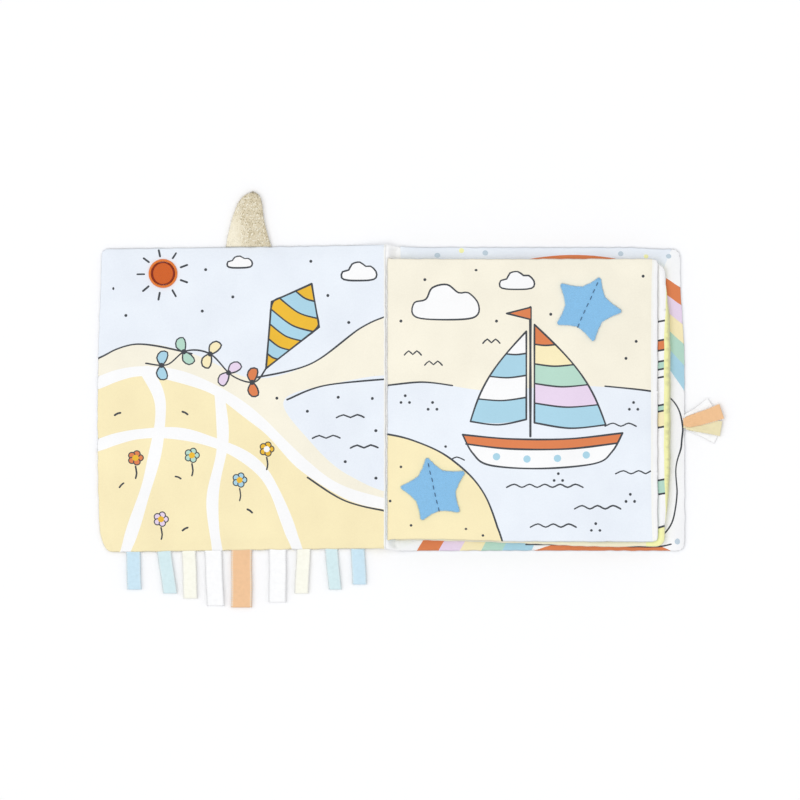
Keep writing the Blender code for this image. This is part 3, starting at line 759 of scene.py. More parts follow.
border = Print("frost")
# The top strip is the darker ice: painted shade of the leaves standing above it.
border.area("ice", [(-95, 95), (-95, 60), (66, 60), (80, 95)])
rainbow(border, 17.6, -37, 122.4, 8.8, -0.2, math.pi + 0.2)
cloud_edge = [(66, 2), (74.6, 0.5), (80.4, -6), (82.8, -16), (82.0, -28), (78.6, -41), (79.2, -57)]
cloud_edge += [(75.4, -73), (66, -84)]
border.area("frost", curve_through([(40, -80), (50, -10)] + cloud_edge, True))
border.line(cloud_edge)
border.dots("mist", [(-62, 85), (-34, 86.5), (46, 86), (76, 85), (-74, 70)], 1.7)
border.dots("lemon", [(62, 84.5), (-48, 88)], 1.5)
border.dots("mist", [(79, -83.6)], 1.9)
for k, ink in enumerate(RAINBOW):
    left = -75 + k * 12.5
    blade = [(left, -96), (left + 2, -88), (left + 9, -78), (left + 21, -80), (left + 14, -96)]
    border.area(ink, curve_through(blade, True))
border.area("terracotta", curve_through([(-10, -97), (4, -87), (40, -84), (66, -86), (76, -97)], True))
border.line([(-10, -86.2), (27, -86.6), (50, -87.3), (68, -87.4), (75, -85.4)])
print("the border print has", len(border.shapes), "shapes")

# %% [markdown]
# The outsides of the covers: on the front a rainbow between two clouds, under a few stars, and on the back
# scattered dots and stars.

# %% Outside prints
outside = Print("ice")
outside.ground_below("yellow", [(-95, -46), (-40, -30), (20, -44), (95, -26)])
outside.line([(-88, -45), (-40, -30), (20, -44), (88, -28)])
rainbow(outside, 0, -26, 62, 8)
outside.cloud(-46, -32, 1.0)
outside.cloud(46, -30, 1.05)
for x, y, size, turn in ((-58, 64, 8, 0.3), (60, 58, 9, 0.9), (0, 66, 6.5, 0.1), (-30, 48, 4.5, 0.6)):
    outside.drawn("mustard", star_outline(x, y, size, size * 0.52, turn), smooth=False, width=1.1)
outside.dots("mist", [(-72, 30), (72, 24), (30, 74), (-66, 4), (70, -4), (34, 54)], 1.8)
outside.dots("terracotta", [(-60, -66), (-20, -60), (24, -70), (62, -58), (-40, -80), (44, -82)], 2.4)

reverse = Print("ice")
for row in range(8):
    for column in range(8):
        x, y = -77 + column * 22 + 11 * (row % 2), -77 + row * 22
        ink = ["sky", "mustard", "mint", "terracotta", "lilac"][(row * 2 + column) % 5]
        if (row + column) % 3:
            reverse.area(ink, circle(x, y, 3.0))
        else:
            reverse.area(ink, star_outline(x, y, 6, 3.1, 0.3 * column))
print("the outside prints have", len(outside.shapes), "and", len(reverse.shapes), "shapes")

# %% [markdown]
# Filled cloth wrinkles in a way that is hard to draw and easy to simulate. A thin flat pillow of two sheets
# is blown up a little by Blender's cloth, while its seam shrinks by a hundredth, as sewing shrinks it. Only
# the fine wrinkles are kept, as a grid of heights and drifts that is capped and then added to each panel. The
# pillow is made ten times as large as life, which suits the solver.

# %% Cloth simulation
SIM_SPACING = 3.0
SIM_SCALE = 10
SIM_FRAMES = 18
DRIFT_CAP = 0.45


def soften(field, times):
    """Blurs a grid by mixing each value with its neighbours."""
    for _ in range(times):
        wide = np.pad(field, 1, mode="edge")
        beside = wide[:-2, 1:-1] + wide[2:, 1:-1] + wide[1:-1, :-2] + wide[1:-1, 2:]
        field = (beside + 4 * wide[1:-1, 1:-1]) / 8
    return field


def sample(field, size, x, y):
    """A grid's value at places on the panel, blended between the nearest four."""
    rows, columns = field.shape
    u = np.clip((x / size[0] + 0.5) * (columns - 1), 0, columns - 1.001)
    v = np.clip((y / size[1] + 0.5) * (rows - 1), 0, rows - 1.001)
    c, r = u.astype(int), v.astype(int)
    a, b = u - c, v - r
    near = field[r, c] * (1 - a) + field[r, c + 1] * a
    far = field[r + 1, c] * (1 - a) + field[r + 1, c + 1] * a
    return near * (1 - b) + far * b


def simulate_filling(size, seed):
    """The wrinkle and the drift of each side of a panel, as grids. Flat where the simulation is skipped."""
    columns, rows = round(size[0] / SIM_SPACING) + 1, round(size[1] / SIM_SPACING) + 1
    if columns < 10:
        flat = np.zeros((rows, columns))
        return {1: (flat, flat, flat), -1: (flat, flat, flat)}
    half = np.array(size) / 2
    x, y = np.meshgrid(np.linspace(-half[0], half[0], columns), np.linspace(-half[1], half[1], rows))
    near = np.clip(np.minimum(half[0] - np.abs(x), half[1] - np.abs(y)) / 12, 0, 1)
    noise = np.random.RandomState(seed).normal(size=x.shape)
    start = np.sqrt(1 - (1 - near) ** 2) * (0.6 + 0.05 * noise)
    rim = near == 0
    upper = np.arange(rows * columns).reshape(rows, columns)
    lower = upper.copy()
    lower[~rim] = rows * columns + np.arange((~rim).sum())
    points = np.vstack([np.stack([x, y, start], 2).reshape(-1, 3), np.stack([x, y, -start], 2)[~rim]])
    faces = grid_faces(rows, columns)
    faces += [tuple(lower.flat[k] for k in face[::-1]) for face in faces]
    pillow = make_object("pillow", points * MM * SIM_SCALE, faces, [])
    seam = pillow.vertex_groups.new(name="seam")
    seam.add([int(k) for k in upper[rim]], 1.0, "REPLACE")
    cloth = pillow.modifiers.new("cloth", "CLOTH")
    cloth.settings.quality = 6
    cloth.settings.mass = 0.3
    cloth.settings.tension_stiffness = 15
    cloth.settings.compression_stiffness = 15
    cloth.settings.shear_stiffness = 5
    cloth.settings.bending_stiffness = 1.0
    cloth.settings.use_pressure = True
    cloth.settings.uniform_pressure_force = 0.4
    cloth.settings.effector_weights.gravity = 0
    cloth.settings.vertex_group_shrink = "seam"
    cloth.settings.shrink_min = 0
    cloth.settings.shrink_max = 0.012
    cloth.point_cache.frame_end = SIM_FRAMES
    for step in range(1, SIM_FRAMES + 1):
        bpy.context.scene.frame_set(step)
    shape = pillow.evaluated_get(bpy.context.evaluated_depsgraph_get()).data
    blown = np.empty(len(shape.vertices) * 3)
    shape.vertices.foreach_get("co", blown)
    blown = blown.reshape(-1, 3) / MM / SIM_SCALE
    bpy.data.objects.remove(pillow)
    bpy.context.scene.frame_set(1)
    fields = {}
    for side, ids in ((1, upper), (-1, lower)):
        height = blown[ids][:, :, 2] * side
        fine = soften(height, 2) - soften(height, 60)
        wrinkle = np.clip(fine / (2 * fine[4:-4, 4:-4].std()), -1, 1)
        drifts = []
        for axis, flat in ((0, x), (1, y)):
            moved = blown[upper][:, :, axis] - flat
            drifts.append(np.clip(0.5 * (soften(moved, 1) - soften(moved, 60)), -DRIFT_CAP, DRIFT_CAP))
        fields[side] = (wrinkle, *drifts)
    print("simulated a pillow of", len(points), "points")
    return fields


print("the filling can be simulated")

# %% [markdown]
# Hand-cut edges and filled cloth are never quite even. A sum of a few waves of random length and direction
# gives a smooth unevenness, and its seed makes it the same at each run.


# %% Uneven lines and surfaces
def along_noise(place, seed, shortest, longest, waves=5):
    """A smooth uneven line, between about -1 and 1."""
    chance = np.random.RandomState(seed)
    total = 0
    for _ in range(waves):
        length, phase = chance.uniform(shortest, longest), chance.uniform(0, math.tau)
        total = total + np.cos(place * math.tau / length + phase)
    return total / waves * 1.5


def field_noise(x, y, seed, shortest, longest, waves=7):
    """A smooth uneven surface, between about -1 and 1."""
    chance = np.random.RandomState(seed)
    total = 0
    for _ in range(waves):
        turn, size = chance.uniform(0, math.tau), chance.uniform(shortest, longest)
        phase = chance.uniform(0, math.tau)
        total = total + np.cos((x * math.cos(turn) + y * math.sin(turn)) * math.tau / size + phase)
    return total / waves * 1.6


def smooth_step(way):
    """0 to 1 with no corner at either end."""
    way = np.clip(way, 0, 1)
    return way * way * (3 - 2 * way)


def ramp(x, start, end):
    """0 before start, 1 past end, and smooth between."""
    return smooth_step((x - start) / (end - start))


print("noise and ramps ready")

# %% [markdown]
# Each cover and leaf is two cloths sewn face to face, turned and lightly filled: flat in the middle, rolled
# over at the edge, with small puckers where the thread draws the seam in. One class holds that shape, so a
# page point can be laid on the cloth of either side.

# %% Padded panels
SEAM_FLAT = 0.12
EDGE_ROUNDNESS = 2.4
EDGE_WAVE = 0.19
COVER_BILLOW, LEAF_BILLOW = 0.9, 0.62
WRINKLE_DEPTH, DENT_DEPTH = 0.42, 0.30


class Panel:
    """A sewn and filled panel, in millimetres: where its page points lie on the cloth of either side.

    corners and rolls are radii at the free sides and at the root, and draw_in is how far the sides bow in.
    heights are those of the seam, the upper and the lower cloth, as functions of x. root is the sign of the
    x side that is sewn in at the spine, shift moves points sideways, and floor is the lowest height."""

    def __init__(self, centre, size, corners, rolls, draw_in, heights, seed, root=0, shift=None, floor=None):
        self.centre = np.array(centre, float)
        self.size = size
        self.half = np.array(size, float) / 2
        self.corners = corners
        self.rolls = rolls
        self.draw_in = draw_in
        self.seam, self.high, self.low = heights
        self.seed = seed
        self.root = root
        self.shift = shift
        self.floor = floor
        self.billowing = COVER_BILLOW if self.half[1] > 85 else LEAF_BILLOW
        self.fields = simulate_filling(size, seed)

    def edge_distance(self, x, y):
        """How far inside the seam a page point is."""
        corner = np.where(x * self.root > 0, self.corners[1], self.corners[0])
        over_x = np.abs(x) - self.half[0] + corner
        over_y = np.abs(y) - self.half[1] + corner
        outside = np.hypot(np.maximum(over_x, 0), np.maximum(over_y, 0))
        return corner - outside - np.minimum(np.maximum(over_x, over_y), 0)

    def rooted(self, x):
        """1 at the side that is sewn in at the spine, 0 away from it."""
        return 1 - smooth_step((self.half[0] - x * self.root) / 20) if self.root else 0 * x

    def swell(self, x, y):
        """How full the panel is: 0 at the seam, 1 in the middle."""
        rooted = self.rooted(x)
        roll = self.rolls[0] + (self.rolls[1] - self.rolls[0]) * rooted
        near = np.clip((self.edge_distance(x, y) - SEAM_FLAT) / roll, 0, 1)
        dome = (1 - (x / self.half[0]) ** 2) * (1 - (y / self.half[1]) ** 2)
        return (1 - (1 - near) ** EDGE_ROUNDNESS) * (0.8 + 0.2 * np.maximum(np.maximum(dome, 0), rooted * 0.9))

    def pucker(self, x, y, seed, reach):
        """Uneven puckers that run in from the nearest edges and fade."""
        to_side = self.half[0] - np.abs(x)
        to_end = self.half[1] - np.abs(y)
        side = along_noise(y, seed, 5, 13) * np.exp(-(to_side / reach) ** 2)
        end = along_noise(x, seed + 1, 5, 13) * np.exp(-(to_end / reach) ** 2)
        return side + end

    def lay(self, points, side):
        """Places in the book's frame of page points, on the upper cloth (side 1) or the lower (side -1)."""
        x, y = points[:, 0] * side, points[:, 1]
        distance = self.edge_distance(x, y)
        swell = self.swell(x, y)
        seam = self.seam(x)
        wrinkle, drift_x, drift_y = (sample(field, self.size, x, y) for field in self.fields[side])
        billow = np.clip(0.5 + 0.5 * field_noise(x, y, self.seed + 3 + side, 18, 44), 0, 1)
        dents = np.maximum(self.pucker(x, y, self.seed + 5 + side, 9), 0) * np.clip(1.6 - distance / 9, 0, 1)
        dents = dents * smooth_step((distance - 0.8) / 3)
        sunk = self.billowing * billow + WRINKLE_DEPTH * (0.5 - 0.5 * wrinkle) + DENT_DEPTH * dents
        loss = smooth_step((distance - SEAM_FLAT) / 4) * sunk
        if side > 0:
            z = seam + (self.high(x) - seam) * swell - loss
        else:
            z = seam + (self.low(x) - seam) * swell + 0.45 * loss * (self.floor is None)
        if self.floor is not None:
            z = np.maximum(z, self.floor)
        rooted = self.rooted(x)
        inward_x = (self.draw_in * (1 - (y / self.half[1]) ** 2) + 0.15) * (1 - rooted) / self.half[0]
        inward_y = (self.draw_in * (1 - (x / self.half[0]) ** 2) + 0.15) / self.half[1]
        rim = np.exp(-(distance / 3.5) ** 2)
        wave_x = along_noise(y, self.seed + 11, 7, 26) * rim * (np.abs(x) > self.half[0] - 14)
        wave_y = along_noise(x, self.seed + 12, 7, 26) * rim * (np.abs(y) > self.half[1] - 14)
        placed_x = x * (1 - inward_x) - np.sign(x) * EDGE_WAVE * wave_x + drift_x * (1 - rooted)
        placed_y = y * (1 - inward_y) - np.sign(y) * EDGE_WAVE * wave_y + drift_y
        if self.shift:
            move_x, move_y = self.shift(x, y, side)
            placed_x = placed_x + move_x
            placed_y = placed_y + move_y
        return np.stack([self.centre[0] + placed_x, self.centre[1] + placed_y, z], 1) * MM

    def loop(self, inset, step):
        """Points round the outline, inset from the seam."""
        half = self.half - inset
        found = []
        for sx, sy, start in ((1, 1, 0), (-1, 1, 0.5), (-1, -1, 1), (1, -1, 1.5)):
            corner = max(self.corners[1 if sx * self.root > 0 else 0] - inset, 0.4)
            centre = (half - corner) * (sx, sy)
            turns = (start + np.linspace(0, 0.5, max(3, int(corner / 0.7)))) * math.pi
            found.append(centre + corner * np.stack([np.cos(turns), np.sin(turns)], 1))
        points = np.vstack(found)
        filled = []
        for a, b in zip(points, np.roll(points, -1, 0)):
            steps = max(1, round(np.linalg.norm(b - a) / step))
            filled += [a + (b - a) * k / steps for k in range(steps)]
        return np.array(filled)


print("panels can be laid")

# %% [markdown]
# The print isn't painted on by a picture: its outlines are cut into the cloth. A Delaunay triangulation joins
# the shapes' outlines, the seam and a grid of points into one mesh, and each triangle takes the ink of the
# topmost shape it lies in. The edges stay crisp at any size.


# %% Outlines and triangles
def winds_round(spots, outline):
    """True for each spot that the outline runs round."""
    a, b = outline, np.roll(outline, -1, 0)
    x, y = spots[:, :1], spots[:, 1:]
    left = (b[:, 0] - a[:, 0]) * (y - a[:, 1]) - (x - a[:, 0]) * (b[:, 1] - a[:, 1])
    up = (a[:, 1] <= y) & (b[:, 1] > y) & (left > 0)
    down = (a[:, 1] > y) & (b[:, 1] <= y) & (left < 0)
    return up.sum(1) != down.sum(1)


def triangulate(outlines, loose):
    """A triangulation of closed outlines and loose points, with every outline kept as edges."""
    points = [Vector(p) for outline in outlines for p in outline]
    edges = []
    start = 0
    for outline in outlines:
        edges += [(start + k, start + (k + 1) % len(outline)) for k in range(len(outline))]
        start += len(outline)
    points += [Vector(p) for p in loose]
    made = delaunay_2d_cdt(points, edges, [], 0, 1e-4)
    return np.array([tuple(p) for p in made[0]]), np.array([face for face in made[2] if len(face) == 3])


print("outlines can be cut into triangles")

# %% [markdown]
# The two cloths of a panel share one seam. Where a printed edge of either side runs into it, the seam gets a
# point there, so that both sides have the same points along it and close without a gap.


# %% Seam points
def seam_with_crossings(panel, rim, prints):
    """The seam's points, with one more wherever a printed edge of either side meets the seam."""
    extra = [[] for _ in rim]
    ends = np.roll(rim, -1, 0)
    along = ends - rim
    length = np.maximum((along ** 2).sum(1), 1e-12)
    for side, page in prints:
        outlines = [shape * (side, 1) for _, shape in page.shapes]
        if not outlines:
            continue
        found, _ = triangulate([rim] + outlines, [])
        for spot in found:
            way = np.clip(((spot - rim) * along).sum(1) / length, 0, 1)
            gap = np.hypot(*(rim + along * way[:, None] - spot).T)
            k = int(gap.argmin())
            if gap[k] < 1e-3 and 0.02 < way[k] * math.sqrt(length[k]) < math.sqrt(length[k]) - 0.02:
                extra[k].append(way[k])
    points = []
    for k, start in enumerate(rim):
        points += [start] + [start + along[k] * way for way in sorted(extra[k])]
    keep = [points[0]]
    for point in points[1:]:
        if np.linalg.norm(point - keep[-1]) > 0.02:
            keep.append(point)
    return np.array(keep)


print("seams can be given their points")

# %% [markdown]
# The cloth curves most near the seam, so rows of points follow it there at these distances, and a plain grid
# fills the middle. Each side is cut with its print, and the two are joined along the seam.

# %% Sewing a panel
CELL = 0.7
WELD = 0.00002
PANEL_INSETS = (0.25, 0.8, 1.7, 3.0, 4.7, 6.9, 9.5, 12.2)
SPINE_INSETS = (0.25, 0.7, 1.3, 2.0, 2.7, 3.4, 4.0, 4.6)


def cut_side(panel, rim, page, side, insets, spacing):
    """One cloth of a panel: its points, triangles and the ink of each."""
    outlines = [shape * (side, 1) for _, shape in page.shapes]
    busy = set()
    for outline in outlines + [rim]:
        busy.update(map(tuple, np.floor(outline / CELL).astype(int)))
    loose = [panel.loop(inset, 1.6 if inset < 2 else 2.2) for inset in insets]
    grid_x = np.arange(-panel.half[0] + insets[-1] + 2, panel.half[0] - insets[-1] - 1.5, spacing)
    grid_y = np.arange(-panel.half[1] + insets[-1] + 2, panel.half[1] - insets[-1] - 1.5, spacing)
    if len(grid_x):
        loose.append(np.array([(x, y) for x in grid_x for y in grid_y]))
    loose = [p for p in np.vstack(loose) if tuple(np.floor(p / CELL).astype(int)) not in busy]
    points, triangles = triangulate([rim] + outlines, loose)
    centres = points[triangles].mean(1)
    inside = winds_round(centres, rim)
    triangles, centres = triangles[inside], centres[inside]
    inks = np.full(len(triangles), INK_ORDER.index(page.ground))
    for (ink, _), outline in zip(page.shapes, outlines):
        low, high = outline.min(0), outline.max(0)
        near = np.nonzero(((centres > low) & (centres < high)).all(1))[0]
        if len(near):
            inks[near[winds_round(centres[near], outline)]] = ink
    return points * (side, 1), triangles, inks


def sew_panel(name, panel, front, back, insets, spacing):
    """A closed panel with a print on each side, as one object."""
    rim = seam_with_crossings(panel, panel.loop(0, 1.6), [(1, front), (-1, back)])
    cloth = bmesh.new()
    for side, page in ((1, front), (-1, back)):
        points, triangles, inks = cut_side(panel, rim, page, side, insets, spacing)
        verts = [cloth.verts.new(p) for p in panel.lay(points, side)]
        for triangle, ink in zip(triangles, inks):
            face = cloth.faces.new([verts[k] for k in triangle])
            face.material_index = int(ink)
            face.smooth = True
    bmesh.ops.remove_doubles(cloth, verts=cloth.verts, dist=WELD)
    slivers = {e.link_faces[0] for e in cloth.edges if len(e.link_faces) == 1}
    slivers = [f for f in slivers if sum(len(e.link_faces) > 2 for e in f.edges) == 2]
    bmesh.ops.delete(cloth, geom=slivers, context="FACES")
    bmesh.ops.delete(cloth, geom=[v for v in cloth.verts if not v.link_faces], context="VERTS")
    bmesh.ops.recalc_face_normals(cloth, faces=cloth.faces)
    data = bpy.data.meshes.new(name)
    cloth.to_mesh(data)
    open_edges = sum(1 for e in cloth.edges if len(e.link_faces) != 2)
    cloth.free()
    for material in INK_MATERIALS:
        data.materials.append(material)
    piece = bpy.data.objects.new(name, data)
    bpy.context.scene.collection.objects.link(piece)
    print(name, "has", len(data.polygons), "faces and", open_edges, "open edges")
    return piece


print("panels can be sewn")

# %% [markdown]
# The two covers are the same size, either side of the spine. The front cover lies a little crooked and its
# far corner has been pushed in, as on a book that has been handled. At the spine it rises to the leaves.

# %% Front cover
COVER_SIZE = (168, 180)
COVER_CENTRE = 88.2
COVER_SEAM, COVER_TOP, COVER_FOOT = 1.3, 5.2, -0.9
TABLE_GAP = 0.03


def front_cover_lie(x, y, side):
    """The front cover lies a little turned, its fore-edge bulges, and one corner is knocked inwards."""
    knocked = np.exp(-((x + 84) ** 2 + (y + 90) ** 2) / 9 ** 2)
    bulge = np.maximum(1 - ((y + 12) / 85) ** 2, 0) * np.clip((-x - 10) / 74, 0, 1) ** 2
    return 2.6 * knocked - 2.3 * bulge + 0.7 * ramp(x, 74, 84), 0.6 * knocked + 0.2 + 0.0145 * x


spacing = 2.4
front_heights = (
    lambda x: COVER_SEAM + 3.9 * ramp(x, 64, 84),
    lambda x: COVER_TOP + 1.8 * ramp(x, 75, 84),
    lambda x: COVER_FOOT + 3.2 * ramp(x, 66, 84),
)
front_panel = Panel(
    (-COVER_CENTRE, 0), COVER_SIZE, (6.0, 1.2), (14, 1.3), 0.2, front_heights,
    seed=10, root=1, shift=front_cover_lie, floor=TABLE_GAP,
)
front_cover = sew_panel("front_cover_cloth", front_panel, meadow, outside, PANEL_INSETS, spacing)
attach(front_cover, "front_cover")
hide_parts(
    "front_cover_inner", "front_cover_outer", "front_cover_batting", "front_cover_film"
)

# %% [markdown]
# The back cover lies flat under the leaves, and its upper outer corner is drawn in a little.

# %% Back cover
back_heights = (
    lambda x: COVER_SEAM + 1.4 * ramp(x, -72, -84),
    lambda x: COVER_TOP + 0 * x,
    lambda x: COVER_FOOT + 0 * x,
)


def back_cover_lie(x, y, side):
    """The back cover's upper outer corner is drawn in a little."""
    return -2.6 * ramp(x, 40, 84) * ramp(y, 20, 75), -1.3 * ramp(x, 45, 84) * ramp(y, 60, 88)


back_panel = Panel(
    (COVER_CENTRE, 0), COVER_SIZE, (6.0, 1.2), (14, 14), 0.2, back_heights,
    seed=40, root=-1, shift=back_cover_lie, floor=TABLE_GAP,
)
back_cover = sew_panel("back_cover_cloth", back_panel, border, reverse, PANEL_INSETS, spacing)
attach(back_cover, "back_cover")
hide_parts("back_cover_inner", "back_cover_outer", "back_cover_batting", "back_cover_film")

# %% [markdown]
# The leaves are thinner: two cloths round a crinkle film. Each dips to its root at the spine, where it is
# sewn in, and the lower leaf's back cloth is a little too wide and rolls out past the fore-edge.


# %% Leaves
def roll_out(x, y, side):
    """The back cloth of the lower leaf slips out past the fore-edge, and its lower edge sags and rises."""
    out = np.clip(x / LEAF_HALF, 0, 1) ** 8 * slip(y)
    kept = smooth_step((LEAF_HALF - x) / SLIP_SEAM) if side > 0 else 0
    sag = (2.4 * (1 - ramp(x, -60, 30)) - 1.2 * ramp(x, 0, 50)) * ramp(-y, 60, 80)
    return (3.0 - 2.5 * kept) * out, sag


def reach_to_cover(x, y, side):
    """The upper leaf's root edge reaches over to the front cover, and its foot hangs a little lower."""
    foot = ramp(x, -60, 0) * ramp(-y, 56, 80)
    return -0.5 * (1 - ramp(x, -LEAF_HALF, -68)), 0.25 - 1.4 * foot


lower_heights = (
    lambda x: 5.75 + 1.05 * ramp(x, -LEAF_HALF, -66),
    lambda x: 7.4 + 0.95 * ramp(x, -LEAF_HALF, -60) + 0.9 * ramp(x, 74.4, 76.0),
    lambda x: 5.2 + 0.1 * ramp(x, -LEAF_HALF, -66),
)
lower_panel = Panel(
    (80.9, -2.9), LEAF_SIZE, (6.5, 1.2), (4, 5), 0.25, lower_heights, seed=60, root=-1, shift=roll_out
)
lower_leaf = sew_panel("lower_leaf_cloth", lower_panel, stripes, dotty, PANEL_INSETS, spacing)
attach(lower_leaf, "leaf_2")
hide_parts("leaf_2_front", "leaf_2_back", "leaf_2_film")

upper_heights = (
    lambda x: 7.8 + 2.1 * ramp(x, -LEAF_HALF, -70) - 0.9 * ramp(x, 66, LEAF_HALF),
    lambda x: 9.8 + 1.8 * ramp(x, -LEAF_HALF, -64) - 0.3 * ramp(x, 60, LEAF_HALF),
    lambda x: 7.6 + 1.0 * ramp(x, -LEAF_HALF, -66),
)
upper_panel = Panel(
    (76.8, -0.3), LEAF_SIZE, (4.5, 1.0), (8, 8), 0.2, upper_heights, seed=80, root=-1, shift=reach_to_cover
)
upper_leaf = sew_panel("upper_leaf_cloth", upper_panel, sea, balloons, PANEL_INSETS, spacing)
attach(upper_leaf, "leaf_1")
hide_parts("leaf_1_front", "leaf_1_back", "leaf_1_film")

# %% [markdown]
# The spine is a white strip with a little filling, sewn to both covers.

# %% Spine
plain = Print("white")


def spine_lie(x, y, side):
    """The spine's front side follows the crooked front cover."""
    return 0 * x, 1.4 * ramp(x, 4.3, -4.3)


spine_heights = (
    lambda x: 5.0 - 2.3 * ramp(x, -4.4, 4.4),
    lambda x: 6.6 - 3.4 * ramp(x, -3.0, 2.8),
    lambda x: 0.2 + 2.6 * ramp(x, 3, -4.4),
)
spine_panel = Panel(
    (-0.2, 0), (10.0, 179.6), (1.4, 1.4), (2.2, 2.2), 0, spine_heights,
    seed=100, shift=spine_lie, floor=TABLE_GAP,
)
spine = sew_panel("spine_cloth", spine_panel, plain, plain, SPINE_INSETS, 1.2)
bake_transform(spine)
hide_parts("spine_strip")

# %% [markdown]
# The stars are needle-pressed wool felt: fibres matted in every direction, which give the eye a cloudy colour,
# a rough surface and no shine. They are drawn about twice as coarse as real ones, so that they show.

# %% Felt
FIBRE_SIZE = 0.35 * MM


def pressed_felt(name, code):
    """Needle-pressed wool felt."""
    material, tree = blank_material(name)
    place = add_node(tree, "ShaderNodeTexCoord").outputs["Object"]
    cloud = add_node(
        tree, "ShaderNodeTexNoise", {"Vector": place, "Scale": 1500, "Detail": 5, "Roughness": 0.75}
    ).outputs["Fac"]
    fibre = add_node(
        tree, "ShaderNodeTexNoise",
        {"Vector": place, "Scale": 1 / FIBRE_SIZE, "Detail": 3, "Distortion": 1.6},
    ).outputs["Fac"]
    stops = add_node(tree, "ShaderNodeValToRGB", {"Fac": cloud})
    stops.color_ramp.elements[0].position = 0.3
    stops.color_ramp.elements[0].color = toned(code, 0.88)
    stops.color_ramp.elements[1].position = 0.7
    stops.color_ramp.elements[1].color = toned(code, 1.10)
    matted = add_node(tree, "ShaderNodeBump", {"Strength": 0.5, "Distance": 0.00025, "Height": fibre})
    surface = add_node(
        tree, "ShaderNodeBsdfPrincipled",
        {
            "Base Color": stops.outputs["Color"], "Roughness": 0.95, "Specular IOR Level": 0.15,
            "Sheen Weight": 0.45, "Sheen Roughness": 0.6, "Normal": matted.outputs["Normal"],
        },
    )
    add_node(tree, "ShaderNodeOutputMaterial", {"Surface": surface.outputs[0]})
    return material


BLUE_FELT = pressed_felt("pressed_felt_blue", "#86BFE8")
# The fluff is a paler blue than the felt: painted sheen of the loose fibres.
PAINTED_SHEEN_FELT = pressed_felt("pressed_felt_fluff_painted_sheen", "#A9D5F2")
print("blue felt and its pale fluff")

# %% [markdown]
# Sewing thread is spun polyester, twisted from two plies. Its twist's short bands of light and dark are
# painted into its colour, as darker and paler copies of it, and the fibres give a low shine. The satin threads
# of the patch have no nap.


# %% Thread
def sewing_thread(name, code, roughness=0.45, sheen=0.2):
    """Twisted polyester thread."""
    material, tree = blank_material(name)
    place = add_node(tree, "ShaderNodeTexCoord").outputs["Object"]
    ply = add_node(
        tree, "ShaderNodeTexNoise", {"Vector": place, "Scale": 2600, "Detail": 2, "Distortion": 0.5}
    ).outputs["Fac"]
    # Painted shade and light of the twist: darker and paler copies of the colour, mixed by the ply noise.
    twist = add_node(
        tree, "ShaderNodeMix", {0: ply, 6: toned(code, 0.7), 7: toned(code, 1.3)}, data_type="RGBA"
    ).outputs[2]
    raised = add_node(tree, "ShaderNodeBump", {"Strength": 0.4, "Distance": 0.0001, "Height": ply})
    surface = add_node(
        tree, "ShaderNodeBsdfPrincipled",
        {
            "Base Color": twist, "Roughness": roughness, "Specular IOR Level": 0.3,
            "Sheen Weight": sheen, "Normal": raised.outputs["Normal"],
        },
    )
    add_node(tree, "ShaderNodeOutputMaterial", {"Surface": surface.outputs[0]})
    return material


DARK_THREAD = sewing_thread("polyester_thread_slate", "#3D5F80")
ORANGE_THREAD = sewing_thread("satin_thread_orange", "#CB5A08", sheen=0)
RIM_THREAD = sewing_thread("satin_thread_bright_orange", "#EA7A2C", sheen=0)
RUST_THREAD = sewing_thread("satin_thread_rust", "#8A2204", sheen=0)
print("one dark thread and three satin ones")

# %% [markdown]
# The tags and the tail are woven polyester ribbon. Fine ribs across it catch the light as a satin shine, and
# the dye takes a little unevenly. The ribs are drawn 0.8 mm apart, coarser than real ones, so that they show.

# %% Ribbon
RIB_PITCH = 0.8 * MM


def woven_ribbon(name, code, direction="Y"):
    """Woven polyester ribbon that runs along direction."""
    material, tree = blank_material(name)
    place = add_node(tree, "ShaderNodeTexCoord").outputs["Object"]
    ribs = add_node(
        tree, "ShaderNodeTexWave",
        {"Vector": place, "Scale": WAVE_PERIOD / RIB_PITCH, "Distortion": 1.2, "Detail": 2},
        bands_direction=direction,
    ).outputs["Fac"]
    dye = add_node(
        tree, "ShaderNodeTexNoise", {"Vector": place, "Scale": 420, "Detail": 5, "Roughness": 0.65}
    ).outputs["Fac"]
    dyed = add_node(
        tree, "ShaderNodeMix", {0: dye, 6: toned(code, 0.88), 7: toned(code, 1.1)}, data_type="RGBA"
    ).outputs[2]
    raised = add_node(tree, "ShaderNodeBump", {"Strength": 0.3, "Distance": 0.00012, "Height": ribs})
    surface = add_node(
        tree, "ShaderNodeBsdfPrincipled",
        {
            "Base Color": dyed, "Roughness": 0.42, "Specular IOR Level": 0.45,
            "Sheen Weight": 0.15, "Normal": raised.outputs["Normal"],
        },
    )
    add_node(tree, "ShaderNodeOutputMaterial", {"Surface": surface.outputs[0]})
    return material


print("ribbon can be woven")

# %% [markdown]
# The tab is short plush with strands of lurex in it. The pile gives the eye a cloudy colour without shine, and
# the strands give close-set specks: olive ones, and near-white ones that are painted glints of the lurex.
# Painted shade darkens it towards the right and towards its tip, so it is palest at its left foot.

# %% Plush
PILE_SIZE = 0.9 * MM
SPECK_SPACING = 0.85 * MM


